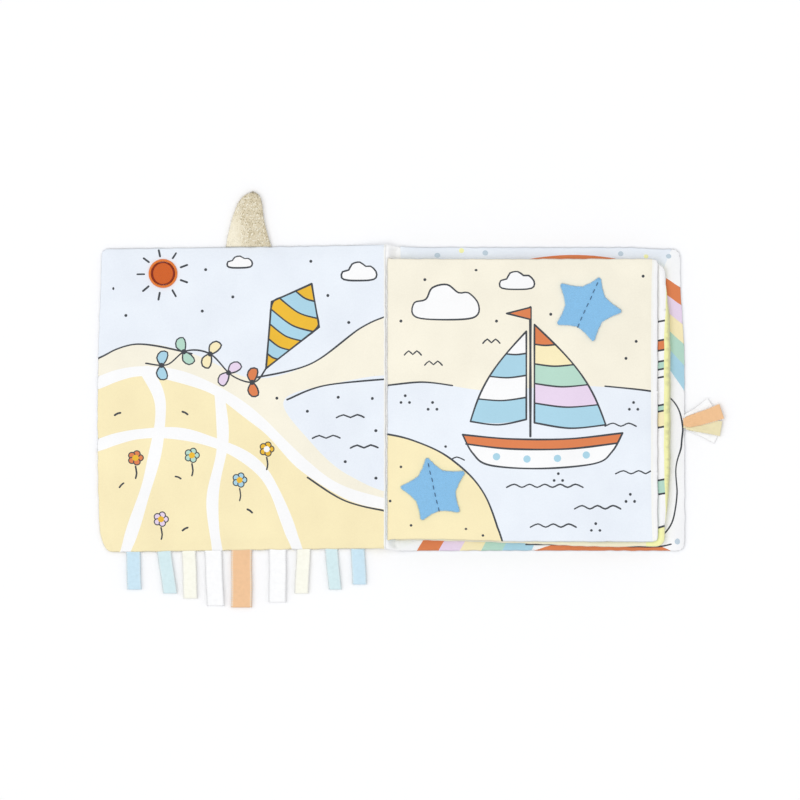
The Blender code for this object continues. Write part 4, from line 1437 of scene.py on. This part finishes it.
def sparkle_plush(name, pale, middle, deep):
    """Short plush with strands of lurex, in three tones."""
    material, tree = blank_material(name)
    place = add_node(tree, "ShaderNodeTexCoord").outputs["Object"]
    cloud = add_node(
        tree, "ShaderNodeTexNoise", {"Vector": place, "Scale": 150, "Detail": 4, "Roughness": 0.6}
    ).outputs["Fac"]
    pile = add_node(
        tree, "ShaderNodeTexNoise", {"Vector": place, "Scale": 1 / PILE_SIZE, "Detail": 4, "Distortion": 1}
    ).outputs["Fac"]
    # Painted shade: the colour darkens towards the right and towards the tip, away from the seam.
    axes = add_node(tree, "ShaderNodeSeparateXYZ", {"Vector": place}).outputs
    across = add_node(
        tree, "ShaderNodeMapRange", {"Value": axes["X"], "From Min": -0.096, "From Max": -0.074}
    ).outputs[0]
    height = add_node(
        tree, "ShaderNodeMapRange", {"Value": axes["Y"], "From Min": 0.090, "From Max": 0.120}
    ).outputs[0]
    shade = add_node(
        tree, "ShaderNodeMath", {0: height, 1: 0.45, 2: across}, operation="MULTIPLY_ADD"
    ).outputs[0]
    tone = add_node(tree, "ShaderNodeMath", {0: cloud, 1: 0.6, 2: shade}, operation="MULTIPLY_ADD").outputs[0]
    stops = add_node(tree, "ShaderNodeValToRGB", {"Fac": tone})
    stops.color_ramp.elements[0].position = 0.5
    stops.color_ramp.elements[0].color = linear(pale)
    stops.color_ramp.elements[1].position = 1.0
    stops.color_ramp.elements[1].color = linear(deep)
    stops.color_ramp.elements.new(0.72).color = linear(middle)
    speck = add_node(tree, "ShaderNodeTexVoronoi", {"Vector": place, "Scale": 1 / SPECK_SPACING}).outputs
    reach = add_node(
        tree, "ShaderNodeMapRange",
        {"Value": tone, "From Min": 0.4, "From Max": 0.9, "To Min": 0.08, "To Max": 0.4},
    ).outputs[0]
    near = add_node(
        tree, "ShaderNodeMath", {0: speck["Distance"], 1: reach}, operation="LESS_THAN"
    ).outputs[0]
    soft = add_node(tree, "ShaderNodeMath", {0: near, 1: 0.75}, operation="MULTIPLY").outputs[0]
    # Half the specks are painted near white, as glints of the lurex; the other half are olive.
    glint_colour = add_node(tree, "ShaderNodeValToRGB", {"Fac": speck["Color"]})
    glint_colour.color_ramp.elements[0].position = 0.48
    glint_colour.color_ramp.elements[0].color = linear("#A8996F")
    glint_colour.color_ramp.elements[1].position = 0.52
    glint_colour.color_ramp.elements[1].color = linear("#FFFCEE")
    flecked = add_node(
        tree, "ShaderNodeMix", {0: soft, 6: stops.outputs[0], 7: glint_colour.outputs[0]}, data_type="RGBA"
    ).outputs[2]
    raised = add_node(tree, "ShaderNodeBump", {"Strength": 0.8, "Distance": 0.0006, "Height": pile})
    surface = add_node(
        tree, "ShaderNodeBsdfPrincipled",
        {
            "Base Color": flecked, "Roughness": 0.8, "Specular IOR Level": 0.3,
            "Sheen Weight": 0.5, "Sheen Roughness": 0.5, "Normal": raised.outputs["Normal"],
        },
    )
    add_node(tree, "ShaderNodeOutputMaterial", {"Surface": surface.outputs[0]})
    return material


PLUSH = sparkle_plush("sparkle_plush_beige", "#F9F1DA", "#EFE5CB", "#DFD3B6")
print("plush for the tab")

# %% [markdown]
# Two felt stars lie on the upper leaf, each held by one row of dark stitches, so their tips stand a little
# off the cloth. The leaf's own height is looked up under each point, and the felt is 1 mm thick on top of it.

# %% Star shapes
FELT_THICKNESS = 1.0
STAR_OUTER, STAR_INNER, STAR_TIP, STAR_BOW = 20.8, 12.5, 1.3, 0.55
STARS = {
    "star_upper": ((113.78, 53.81), 65.6, (0.95, 1.03, 0.98, 1.01, 1.045), 0.75),
    "star_lower": ((24.28, -53.58), 103.0, (0.965, 0.995, 0.94, 0.965, 1.045), 0.40),
}


def leaf_height(places):
    """The height of the upper leaf's cloth at places in the book's frame, in millimetres."""
    return upper_panel.lay(places - upper_panel.centre, 1)[:, 2] / MM


def felt_star_outline(turn, reaches, step=0.6):
    """A hand-cut star about the origin: tips not quite alike, round, with sides that bow in."""
    points = []
    for tip, reach in enumerate(reaches):
        along = turn + tip * math.tau / 5
        corner = STAR_OUTER * reach * np.array((math.cos(along), math.sin(along)))
        for side in (-1, 1):
            beside = along + side * math.pi / 5
            notch = STAR_INNER * np.array((math.cos(beside), math.sin(beside)))
            to_notch = (notch - corner) / np.linalg.norm(notch - corner)
            half = math.acos(float(np.dot(to_notch, -corner / np.linalg.norm(corner))))
            middle = corner * (1 - STAR_TIP / math.sin(half) / STAR_OUTER)
            angles = along + side * np.linspace(0, math.pi / 2 - half, 5)
            rounded = [middle + STAR_TIP * np.array((math.cos(angle), math.sin(angle))) for angle in angles]
            bow = (rounded[-1] + notch) / 2
            bow = bow * (1 - STAR_BOW / np.linalg.norm(bow))
            whole = rounded + [(rounded[-1] + bow) / 2 * 0.995, bow, notch]
            points += whole[::-1] if side < 0 else whole[1:-1]
    filled = []
    for a, b in zip(points, points[1:] + points[:1]):
        steps = max(1, round(np.linalg.norm(b - a) / step))
        filled += [a + (b - a) * k / steps for k in range(steps)]
    filled = np.array(filled)
    ragged = along_noise(np.arange(len(filled)) * step, 6, 1.3, 4.5)
    return filled * (1 + 0.009 * ragged[:, None])


def distance_to(outline, places):
    """How far each place is from a closed outline."""
    a, b = outline, np.roll(outline, -1, 0)
    along = b - a
    way = ((places[:, None] - a) * along).sum(2) / (along ** 2).sum(1)
    nearest = a + along * np.clip(way, 0, 1)[:, :, None]
    return np.linalg.norm(places[:, None] - nearest, axis=2).min(1)


def star_lift(local, turn, rise):
    """How far the felt stands off the cloth: tips up, and down along the stitches."""
    along = np.array((math.cos(turn), math.sin(turn)))
    out = np.linalg.norm(local, axis=1)
    off_line = local @ np.array((-along[1], along[0]))
    wing = rise * np.clip((out - 8) / 12, 0, 1) ** 1.5 * np.clip(np.abs(off_line) / 8, 0, 1)
    ripple = 0.06 * field_noise(local[:, 0], local[:, 1], 7, 9, 22)
    return 0.08 + wing + ripple * np.clip(np.abs(off_line) / 6, 0, 1) - 0.22 * np.exp(-(off_line / 1.8) ** 2)


def weld_felt(shaped):
    """Joins the felt's two faces along its cut edge."""
    bmesh.ops.remove_doubles(shaped, verts=shaped.verts, dist=0.000002)
    bmesh.ops.delete(shaped, geom=[v for v in shaped.verts if not v.link_faces], context="VERTS")


print("star shapes ready")

# %% [markdown]
# The felt is cut into triangles as the cloth is, with three rows of points beside its cut edge, which is
# rounded over. Loose fibres stand out of the edge and the top as fine hairs, painted paler than the felt as
# the sheen they catch.

# %% Felt stars
EDGE_HAIRS, TOP_HAIRS = ((900, 1100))

for star_name, (centre, turn_degrees, reaches, rise) in STARS.items():
    turn = math.radians(turn_degrees)
    outline = felt_star_outline(turn, reaches)
    normal = -sideways(np.vstack([outline, outline[:1]]))[:-1]
    loose = [outline - normal * inset for inset in (0.12, 0.35, 0.8)]
    grid = np.array([(x, y) for x in np.arange(-22, 23, 1.3) for y in np.arange(-22, 23, 1.3)])
    loose = np.vstack(loose + [grid])
    loose = loose[winds_round(loose, outline) & (distance_to(outline, loose) > 0.1)]
    points, triangles = triangulate([outline], loose)
    centres = points[triangles].mean(1)
    triangles = triangles[winds_round(centres, outline)]
    near = np.clip(distance_to(outline, points) / 0.7, 0, 1)
    round_edge = np.sqrt(1 - (1 - near) ** 2)
    base = leaf_height(points + centre) + star_lift(points, turn, rise)
    solid = []
    for sign, amount in ((1, 0.5 + 0.5 * round_edge), (0, 0.5 - 0.5 * round_edge)):
        solid.append(np.column_stack([points + centre, base + FELT_THICKNESS * amount]))
    spread = np.random.RandomState(int(turn_degrees))
    picks = spread.choice(len(outline), EDGE_HAIRS)
    edge_heights = base[picks] + spread.uniform(0.3, 0.9, len(picks))
    edge_spots = np.column_stack([outline[picks] + centre, edge_heights])
    edge_normals = np.column_stack([normal[picks], spread.uniform(0.1, 0.8, len(picks))])
    inner = np.nonzero(near > 0.99)[0]
    picks = spread.choice(inner, TOP_HAIRS)
    top_spots = np.column_stack(
        [points[picks] + centre + spread.uniform(-0.6, 0.6, (len(picks), 2)), base[picks] + FELT_THICKNESS]
    )
    top_normals = np.tile((0, 0, 1), (len(picks), 1))
    hairs, hair_faces = tufts(
        np.vstack([edge_spots, top_spots]), np.vstack([edge_normals, top_normals]), 1.1, 0.07, 5
    )
    body = np.vstack(solid)
    count = len(points)
    faces = [tuple(t) for t in triangles] + [tuple(t[::-1] + count) for t in triangles]
    faces += [tuple(k + 2 * count for k in f) for f in hair_faces]
    slots = [0] * (2 * len(triangles)) + [1] * len(hair_faces)
    star = make_object(
        star_name + "_felt", np.vstack([body, hairs]) * MM, faces, [BLUE_FELT, PAINTED_SHEEN_FELT], slots
    )
    reshape(star.data, weld_felt)
    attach(star, "leaf_1")
    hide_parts(star_name)
    print(star_name, "has", len(star.data.polygons), "faces")

# %% [markdown]
# Each stitch is two strands twisted together, which come up out of the felt and go down again.

# %% Stitches
STITCH_LENGTH = 2.6
STITCH_COUNT = 7
THREAD_RADIUS = 0.36


def twisted_stitch(start, end, radius, sag, twists=2.5, steps=12, sides=8):
    """Two plies wound round each other between two points, dipping at both ends."""
    start, end = np.array(start, float), np.array(end, float)
    along = (end - start) / np.linalg.norm(end - start)
    side = np.cross((0, 0, 1), along)
    side /= np.linalg.norm(side)
    up = np.cross(along, side)
    points = []
    for k in range(steps + 1):
        way = k / steps
        middle = start + (end - start) * way + up * sag * (math.sin(math.pi * way) ** 0.6 - 0.6)
        for s in range(sides):
            angle = s * math.tau / sides
            lobe = radius * (0.78 + 0.22 * math.cos(2 * (angle - way * twists * math.pi)))
            lobe *= 0.55 + 0.45 * math.sin(math.pi * min(max(way, 0.04), 0.96)) ** 0.5
            points.append(middle + lobe * (side * math.cos(angle) + up * math.sin(angle)))
    faces = grid_faces(steps + 1, sides, wrap=True)
    faces.append(tuple(range(sides))[::-1])
    faces.append(tuple(steps * sides + s for s in range(sides)))
    return points, faces


for star_name, (centre, turn_degrees, _, rise) in STARS.items():
    turn = math.radians(turn_degrees)
    along = np.array((math.cos(turn), math.sin(turn)))
    chance = np.random.RandomState(3)
    parts = []
    for k in range(STITCH_COUNT):
        share = 0.72 - 1.28 * k / (STITCH_COUNT - 1)
        local = along * share * STAR_OUTER + chance.uniform(-0.12, 0.12, 2)
        ends = np.array([local - along * STITCH_LENGTH / 2, local + along * STITCH_LENGTH / 2])
        level = leaf_height(ends + centre) + star_lift(ends, turn, rise) + FELT_THICKNESS + 0.12
        start, end = ((*(place + centre), height) for place, height in zip(ends, level))
        parts.append(twisted_stitch(start, end, THREAD_RADIUS, 0.3))
    points, faces = gather(parts)
    stitches = make_object(star_name + "_thread", points * MM, faces, [DARK_THREAD])
    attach(stitches, "leaf_1")
    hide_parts(*["%s_stitch_%d" % (star_name, k + 1) for k in range(7)])
print(len(STARS), "rows of", STITCH_COUNT, "stitches")

# %% [markdown]
# The orange disc is embroidered: rows of satin stitch fill it, and a raised border of short stitches wraps
# over its edge, with a thin rust line just inside. That line is made wider at the left and the right as painted
# shade of the groove there.

# %% Embroidered disc
DISC_CENTRE = np.array((-135.24, 73.8))


def cover_height(places):
    """The height of the front cover's inner cloth at places in the book's frame, in millimetres."""
    return front_panel.lay(places - front_panel.centre, 1)[:, 2] / MM


def lay_ring(profile, strands, ridge, twist=0.0, narrow=1.0):
    """A ring of raised strands, its profile given as radius and height, laid on the cover.

    It is narrow times as wide at the top and the foot as at the left and the right."""
    points = []
    middle = (profile[0][0] + profile[-1][0]) / 2
    for k in range(strands * 2):
        tall = 1 if k % 2 else ridge
        for p, (radius, height) in enumerate(profile):
            angle = math.tau * (k + twist * p) / (strands * 2)
            width = narrow + (1 - narrow) * math.cos(angle) ** 2
            reach = middle + (radius - middle) * width
            raised = height * tall if height > 0 else height
            points.append((reach * math.cos(angle), reach * math.sin(angle), raised))
    points = np.array(points)
    points[:, :2] += DISC_CENTRE
    points[:, 2] += cover_height(points[:, :2])
    faces = grid_faces(strands * 2 + 1, len(profile), wrap=True)
    return points, [tuple(k % len(points) for k in face) for face in faces]


def lay_fill(radius, pitch, low, high):
    """Parallel rows of satin stitch across a disc, with a flat underside."""
    turn = math.radians(35)
    c, s = math.cos(turn), math.sin(turn)
    rows = []
    for a in np.arange(-radius, radius + pitch / 8, pitch / 4):
        half = math.sqrt(max(radius ** 2 - a * a, 0.01))
        ridge = high - 0.09 + 0.09 * abs(math.sin(math.pi * a / pitch))
        line = []
        for b in np.linspace(-half, half, 15):
            dome = 0.10 * (1 - (a * a + b * b) / radius ** 2)
            line.append((a * c - b * s, a * s + b * c, ridge + dome))
        rows.append(line)
    grid = np.array(rows)
    flat = grid.copy()
    flat[:, :, 2] = low
    points = np.vstack([grid.reshape(-1, 3), flat.reshape(-1, 3)])
    points[:, 2] += cover_height(points[:, :2] + DISC_CENTRE)
    points[:, :2] += DISC_CENTRE
    return points, closed_faces(*grid.shape[:2])


fill_points, fill_faces = lay_fill(radius=6.7, pitch=0.55, low=-0.3, high=0.85)
rim_profile = [(6.9, -0.3), (6.95, 0.8), (7.3, 1.22), (7.75, 1.32), (8.2, 1.1), (8.45, 0.6), (8.5, -0.3)]
rim_points, rim_faces = lay_ring(rim_profile, strands=84, ridge=0.86, twist=0.15)
points, faces = gather([(fill_points, fill_faces), (rim_points, rim_faces)])
slots = [0] * len(fill_faces) + [1] * len(rim_faces)
disc = make_object("disc_patch_satin", points * MM, faces, [ORANGE_THREAD, RIM_THREAD], slots)
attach(disc, "front_cover")
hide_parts("disc_patch")
line_profile = [(5.8, 0.5), (5.85, 1.1), (6.4, 1.4), (7.0, 1.34), (7.1, 0.5)]
# The rust line's extra width at the left and the right is painted shade.
points, faces = lay_ring(line_profile, strands=58, ridge=0.72, twist=0.8, narrow=0.42)
line = make_object("disc_patch_line", points * MM, faces, [RUST_THREAD])
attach(line, "front_cover")
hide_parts("disc_patch_ring")
print("the disc has", len(disc.data.polygons) + len(line.data.polygons), "faces")

# %% [markdown]
# Nine ribbon tags hang from the lower edge. Each is a ribbon folded in half and sewn into the seam by its
# ends, so it is a flat loop. Tiny picot loops along both selvedges give the fine toothed edge.

# %% Ribbon tags
RIBBON_THICKNESS = 0.35
PICOT_PITCH = 1.3
PICOT_REACH = 0.55
FOLD_RADIUS = 0.7
SEAM_DEPTH = 2.6
LONGEST_TAG = 32.9
RIBBON_COLOURS = {
    "blue": "#C6E1EF", "teal": "#D0E7EB", "yellow": "#FBF9E9", "white": "#FDFDFE", "orange": "#ECBE90",
}
TAG_RIBBONS = {ink: woven_ribbon("woven_ribbon_" + ink, code) for ink, code in RIBBON_COLOURS.items()}
# Painted light and shade at the picots: darker than the yellow and the white ribbons, as the shadow along their
# edges, and paler than the blue, teal and orange ones, as light through the thin loops.
PICOT_PAINTED_LIGHT_AND_SHADE = {
    "blue": "#D9ECF6", "teal": "#E0F0F2", "yellow": "#F1EFE2", "white": "#EDEFF2", "orange": "#FBEBDA",
}
SELVEDGES = {ink: sewing_thread("picot_thread_" + ink, code, 0.5) for ink, code in PICOT_PAINTED_LIGHT_AND_SHADE.items()}
# Each tag's ribbon, its width, its place along the cover's edge, its share of the longest tag, and its slant.
TAGS = (
    ("blue", 8.4, 0.116, 0.68, 0.03), ("teal", 8.4, 0.224, 0.75, 0.14), ("yellow", 8.4, 0.310, 0.84, 0.04),
    ("white", 10.4, 0.396, 0.97, 0.04), ("orange", 12.4, 0.495, 1.00, 0.00), ("white", 10.4, 0.621, 0.91, 0.00),
    ("yellow", 8.4, 0.712, 0.75, -0.05), ("teal", 7.6, 0.810, 0.68, 0.09), ("blue", 8.4, 0.902, 0.59, 0.05),
)


def picot(place):
    """How far the selvedge's small loops stand out at a place along it."""
    return PICOT_REACH * np.abs(np.sin(np.pi * place / PICOT_PITCH)) ** 0.7


def picot_slots(rows, columns, faces):
    """1 for the picots, which are every other stretch of both selvedges of a thick sheet, and 0 elsewhere."""
    across = columns - 1
    skin = 2 * (rows - 1) * across
    return [
        int(k < skin and k % across in (0, across - 1) and k // across % 4 in (1, 2))
        for k in range(len(faces))
    ]


def loop_profile(length):
    """The folded ribbon's line, as distance out from the seam and height, at even steps."""
    straight = length - FOLD_RADIUS - RIBBON_THICKNESS / 2
    end_height = 0.2 + RIBBON_THICKNESS / 2 + FOLD_RADIUS
    root_height, half_root = 1.0, 0.19
    lower, upper = [], []
    for out in np.linspace(-SEAM_DEPTH, straight, 42):
        way = max(out / straight, 0)
        middle = root_height + (end_height - root_height) * way * way * (3 - 2 * way)
        half = half_root + (FOLD_RADIUS - half_root) * ramp(out, 0, 6)
        lower.append((out, middle - half))
        upper.append((out, middle + half))
    fold = [
        (straight + FOLD_RADIUS * math.cos(t), end_height + FOLD_RADIUS * math.sin(t))
        for t in np.linspace(-math.pi / 2, math.pi / 2, 9)[1:-1]
    ]
    line = np.array(lower + fold + upper[::-1])
    lengths = np.concatenate([[0], np.cumsum(np.linalg.norm(np.diff(line, axis=0), axis=1))])
    places = np.arange(0, lengths[-1], PICOT_PITCH / 4)
    return places, np.column_stack([np.interp(places, lengths, line[:, k]) for k in (0, 1)]), lengths[-1]


for number, (ink, width, place, length_share, slant) in enumerate(TAGS, 1):
    outline_x = (place - 0.5) * COVER_SIZE[0]
    root_x = -COVER_CENTRE + outline_x
    root_y = -COVER_SIZE[1] / 2 + 0.3
    places, line, whole = loop_profile(length_share * LONGEST_TAG)
    steps = np.array((-1, -0.84, -0.6, -0.2, 0.2, 0.6, 0.84, 1))
    grid = np.zeros((len(places), len(steps), 3))
    across = steps[None] * (width / 2 - PICOT_REACH / 2) + np.zeros((len(places), 1))
    across[:, 0] -= picot(places) - PICOT_REACH / 2
    across[:, -1] += picot(places + PICOT_PITCH / 3) - PICOT_REACH / 2
    out = line[:, :1]
    curl = 0.10 * np.sin(out / 7 + number) * (steps[None] ** 2)
    free = np.clip(out / 8, 0, 1)
    grid[:, :, 0] = root_x + across + slant * out + 0.12 * free * np.sin(out / 5 + number * 2)
    grid[:, :, 1] = root_y - out
    grid[:, :, 2] = np.maximum(line[:, 1:] + free * curl, 0.2)
    points, faces = thick_sheet(grid * MM, RIBBON_THICKNESS * MM)
    slots = picot_slots(len(places), len(steps), faces)
    tag = make_object("tag_%d_ribbon_loop" % number, points, faces, [TAG_RIBBONS[ink], SELVEDGES[ink]], slots)
    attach(tag, "tag_%d_ribbon" % number)
    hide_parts("tag_%d" % number)
print(len(TAGS), "ribbon tags")

# %% [markdown]
# The tab is plush, padded and pinched into the upper seam. Its outline narrows to a round tip. A fringe of
# short hairs breaks its edge, as the pile does on the real one.

# %% Plush tab
TAB_ROOT = (-84.42, 89.6)
TAB_RISE, TAB_RIM = 1.4, 0.5
TAB_ROWS, TAB_COLUMNS = 34, 30
FRINGE_HAIRS, PILE_HAIRS = ((700, 2600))
# The distance out from the seam, and how far the left and the right edge are to the side there.
TAB_OUTLINE = np.array([
    (0, -13.6, 12.8), (1.2, -13.5, 12.6), (4.35, -13.1, 11.4), (7.8, -12.4, 10.5), (11.3, -11.4, 9.5),
    (14.8, -10.7, 8.8), (18.3, -9.6, 8.1), (21.8, -8.3, 7.8), (25.2, -6.9, 7.4), (28.7, -4.6, 6.5),
    (30.3, -2.6, 5.5), (31.3, -0.5, 4.3), (31.7, 0.7, 3.2), (31.9, 1.9, 2.1),
])


def tab_surface(side):
    """Points of one side of the tab, between its left and right outlines."""
    points = []
    for v in np.linspace(-1, 1, TAB_ROWS):
        for u in np.linspace(-1, 1, TAB_COLUMNS):
            along = 0.5 + 0.5 * math.sin(v * math.pi / 2)
            out = TAB_OUTLINE[-1, 0] * along
            left = np.interp(out, TAB_OUTLINE[:, 0], TAB_OUTLINE[:, 1])
            right = np.interp(out, TAB_OUTLINE[:, 0], TAB_OUTLINE[:, 2])
            share = math.sin(u * math.pi / 2)
            swell = math.sqrt(max(1 - share ** 2, 0)) * max(math.sin(math.pi * along), 0) ** 0.5
            x = TAB_ROOT[0] + (left + right) / 2 + share * (right - left) / 2
            y = TAB_ROOT[1] + out
            crease = 0.6 * math.exp(-(((x + 84) * 0.5 + (y - 104) * 0.85) / 1.1) ** 2) * swell * (side > 0)
            lumps = 0.12 * field_noise(np.array(x), np.array(y), 21, 4, 11) * swell
            middle = 1.25 + 0.95 * ramp(out, 0, 5)
            half = TAB_RIM * swell ** 0.5 + TAB_RISE * swell
            points.append((x, y, middle + side * half - crease + lumps * (side > 0)))
    return np.array(points)


def weld_plush(shaped):
    """Joins the tab's two sides along its outline."""
    bmesh.ops.remove_doubles(shaped, verts=shaped.verts, dist=WELD)
    bmesh.ops.dissolve_degenerate(shaped, edges=shaped.edges, dist=0.00001)


upper, lower = tab_surface(1), tab_surface(-1)
points = np.vstack([upper, lower])
faces = grid_faces(TAB_ROWS, TAB_COLUMNS)
faces += [f[::-1] for f in grid_faces(TAB_ROWS, TAB_COLUMNS, len(upper))]
chance = np.random.RandomState(8)
outline_ids = [
    r * TAB_COLUMNS + c for r in range(TAB_ROWS) for c in range(TAB_COLUMNS)
    if r in (0, TAB_ROWS - 1) or c in (0, TAB_COLUMNS - 1)
]
outline_ids = [k for k in outline_ids if upper[k, 1] > TAB_ROOT[1] + 1.5]
middle = upper.mean(0)
picks = chance.choice(outline_ids, FRINGE_HAIRS)
outward = upper[picks] - (middle[0], middle[1], 2.2)
outward /= np.linalg.norm(outward, axis=1, keepdims=True)
picks_top = chance.choice(len(upper), PILE_HAIRS)
aside = chance.uniform(-0.5, 0.5, (len(picks_top), 2))
scatter = upper[picks_top] + np.column_stack([aside, np.zeros(len(picks_top))])
ups = np.tile((0.0, 0.0, 1.0), (len(picks_top), 1))
hairs = tufts(np.vstack([upper[picks], scatter]), np.vstack([outward, ups]), 1.15, 0.09, 9)
points, faces = gather([(points, faces), hairs])
tab = make_object("tab_plush", points * MM, faces, [PLUSH])
reshape(tab.data, weld_plush)
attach(tab, "tab")
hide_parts("tab_front", "tab_back", "tab_filling")
print("the tab has", len(tab.data.polygons), "faces")

# %% [markdown]
# Four ribbons are gathered into one point of the back cover's fore-edge and fan out from it. Small pleats run
# from the gather and fade towards the cut ends.

# %% Gathered tail
TAIL_ROOT = (171.817, -14.13)
TAIL_THICKNESS = 0.3
GATHER_WIDTH = 4.6
# The green ribbon is given a darker, yellower beige than its own pale green: painted shade of the orange ribbon
# lying over it.
TAIL_GREEN = woven_ribbon("woven_ribbon_green", "#E6DBB0", "X")
TAIL_ORANGE = woven_ribbon("woven_ribbon_tail_orange", "#EBBB89", "X")
TAIL_WHITE = woven_ribbon("woven_ribbon_tail_white", "#FDFDFE", "X")
# The tail's picots are painted paler than the orange and the green ribbons, as light through the thin loops.
TAIL_EDGE = sewing_thread("picot_thread_pale", "#FBF3E6", 0.5)
# Each ribbon's node, width, length, angle of fan in degrees, place across the gather, material and slot.
TAIL = (
    ("tail_ribbon_white_lower", 8.4, 20.5, -24, -0.30, TAIL_WHITE, "ribbon_white"),
    ("tail_ribbon_white_upper", 10.4, 19.0, 34, 0.55, TAIL_WHITE, "ribbon_white"),
    ("tail_ribbon_green", 9.2, 21.4, -9, -0.15, TAIL_GREEN, "ribbon_green"),
    ("tail_ribbon_orange", 9.6, 22.6, 18, 0.15, TAIL_ORANGE, "ribbon_orange"),
)
for index, (node, width, length, fan, place, cloth, slot) in enumerate(TAIL):
    ways = np.linspace(-0.05, 1, int(length / PICOT_PITCH * 4))[:, None]
    steps = np.linspace(-1, 1, 25)[None]
    way = np.clip(ways, 0, 1)
    spread = GATHER_WIDTH + (width - GATHER_WIDTH) * np.maximum(way, 1e-6) ** 0.28
    turn = math.radians(fan) * np.maximum(way, 1e-6) ** 0.25
    across = steps * spread / 2 + place * GATHER_WIDTH * (1 - way)
    edge = (np.abs(steps) > 0.99) * np.sign(steps)
    across = across + edge * (picot(ways * length) - PICOT_REACH)
    x = TAIL_ROOT[0] + length * ways * np.cos(turn) - across * np.sin(turn) * way
    y = TAIL_ROOT[1] + length * way * np.sin(turn) + across * np.cos(turn)
    pleat = 0.22 * np.cos(steps * 4.5 * np.pi + index) * np.clip(1 - way * 1.25, 0, 1)
    wave = 0.10 * np.sin(way * 5 + steps * 2 + index)
    stack = 0.75 + index * 0.42 + (0.325 + index * 0.23) * ramp(way, 0, 0.2)
    z = stack - 0.5 * np.sin(way * math.pi / 2) + (pleat + wave) * way ** 0.3
    grid = np.stack([x, y, np.maximum(z, 0.2)], 2)
    points, faces = thick_sheet(grid * MM, TAIL_THICKNESS * MM)
    slots = picot_slots(*grid.shape[:2], faces)
    ribbon = make_object(node + "_gathered", points, faces, [cloth, TAIL_EDGE], slots)
    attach(ribbon, "tail")
    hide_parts(node)
print(len(TAIL), "gathered ribbons")
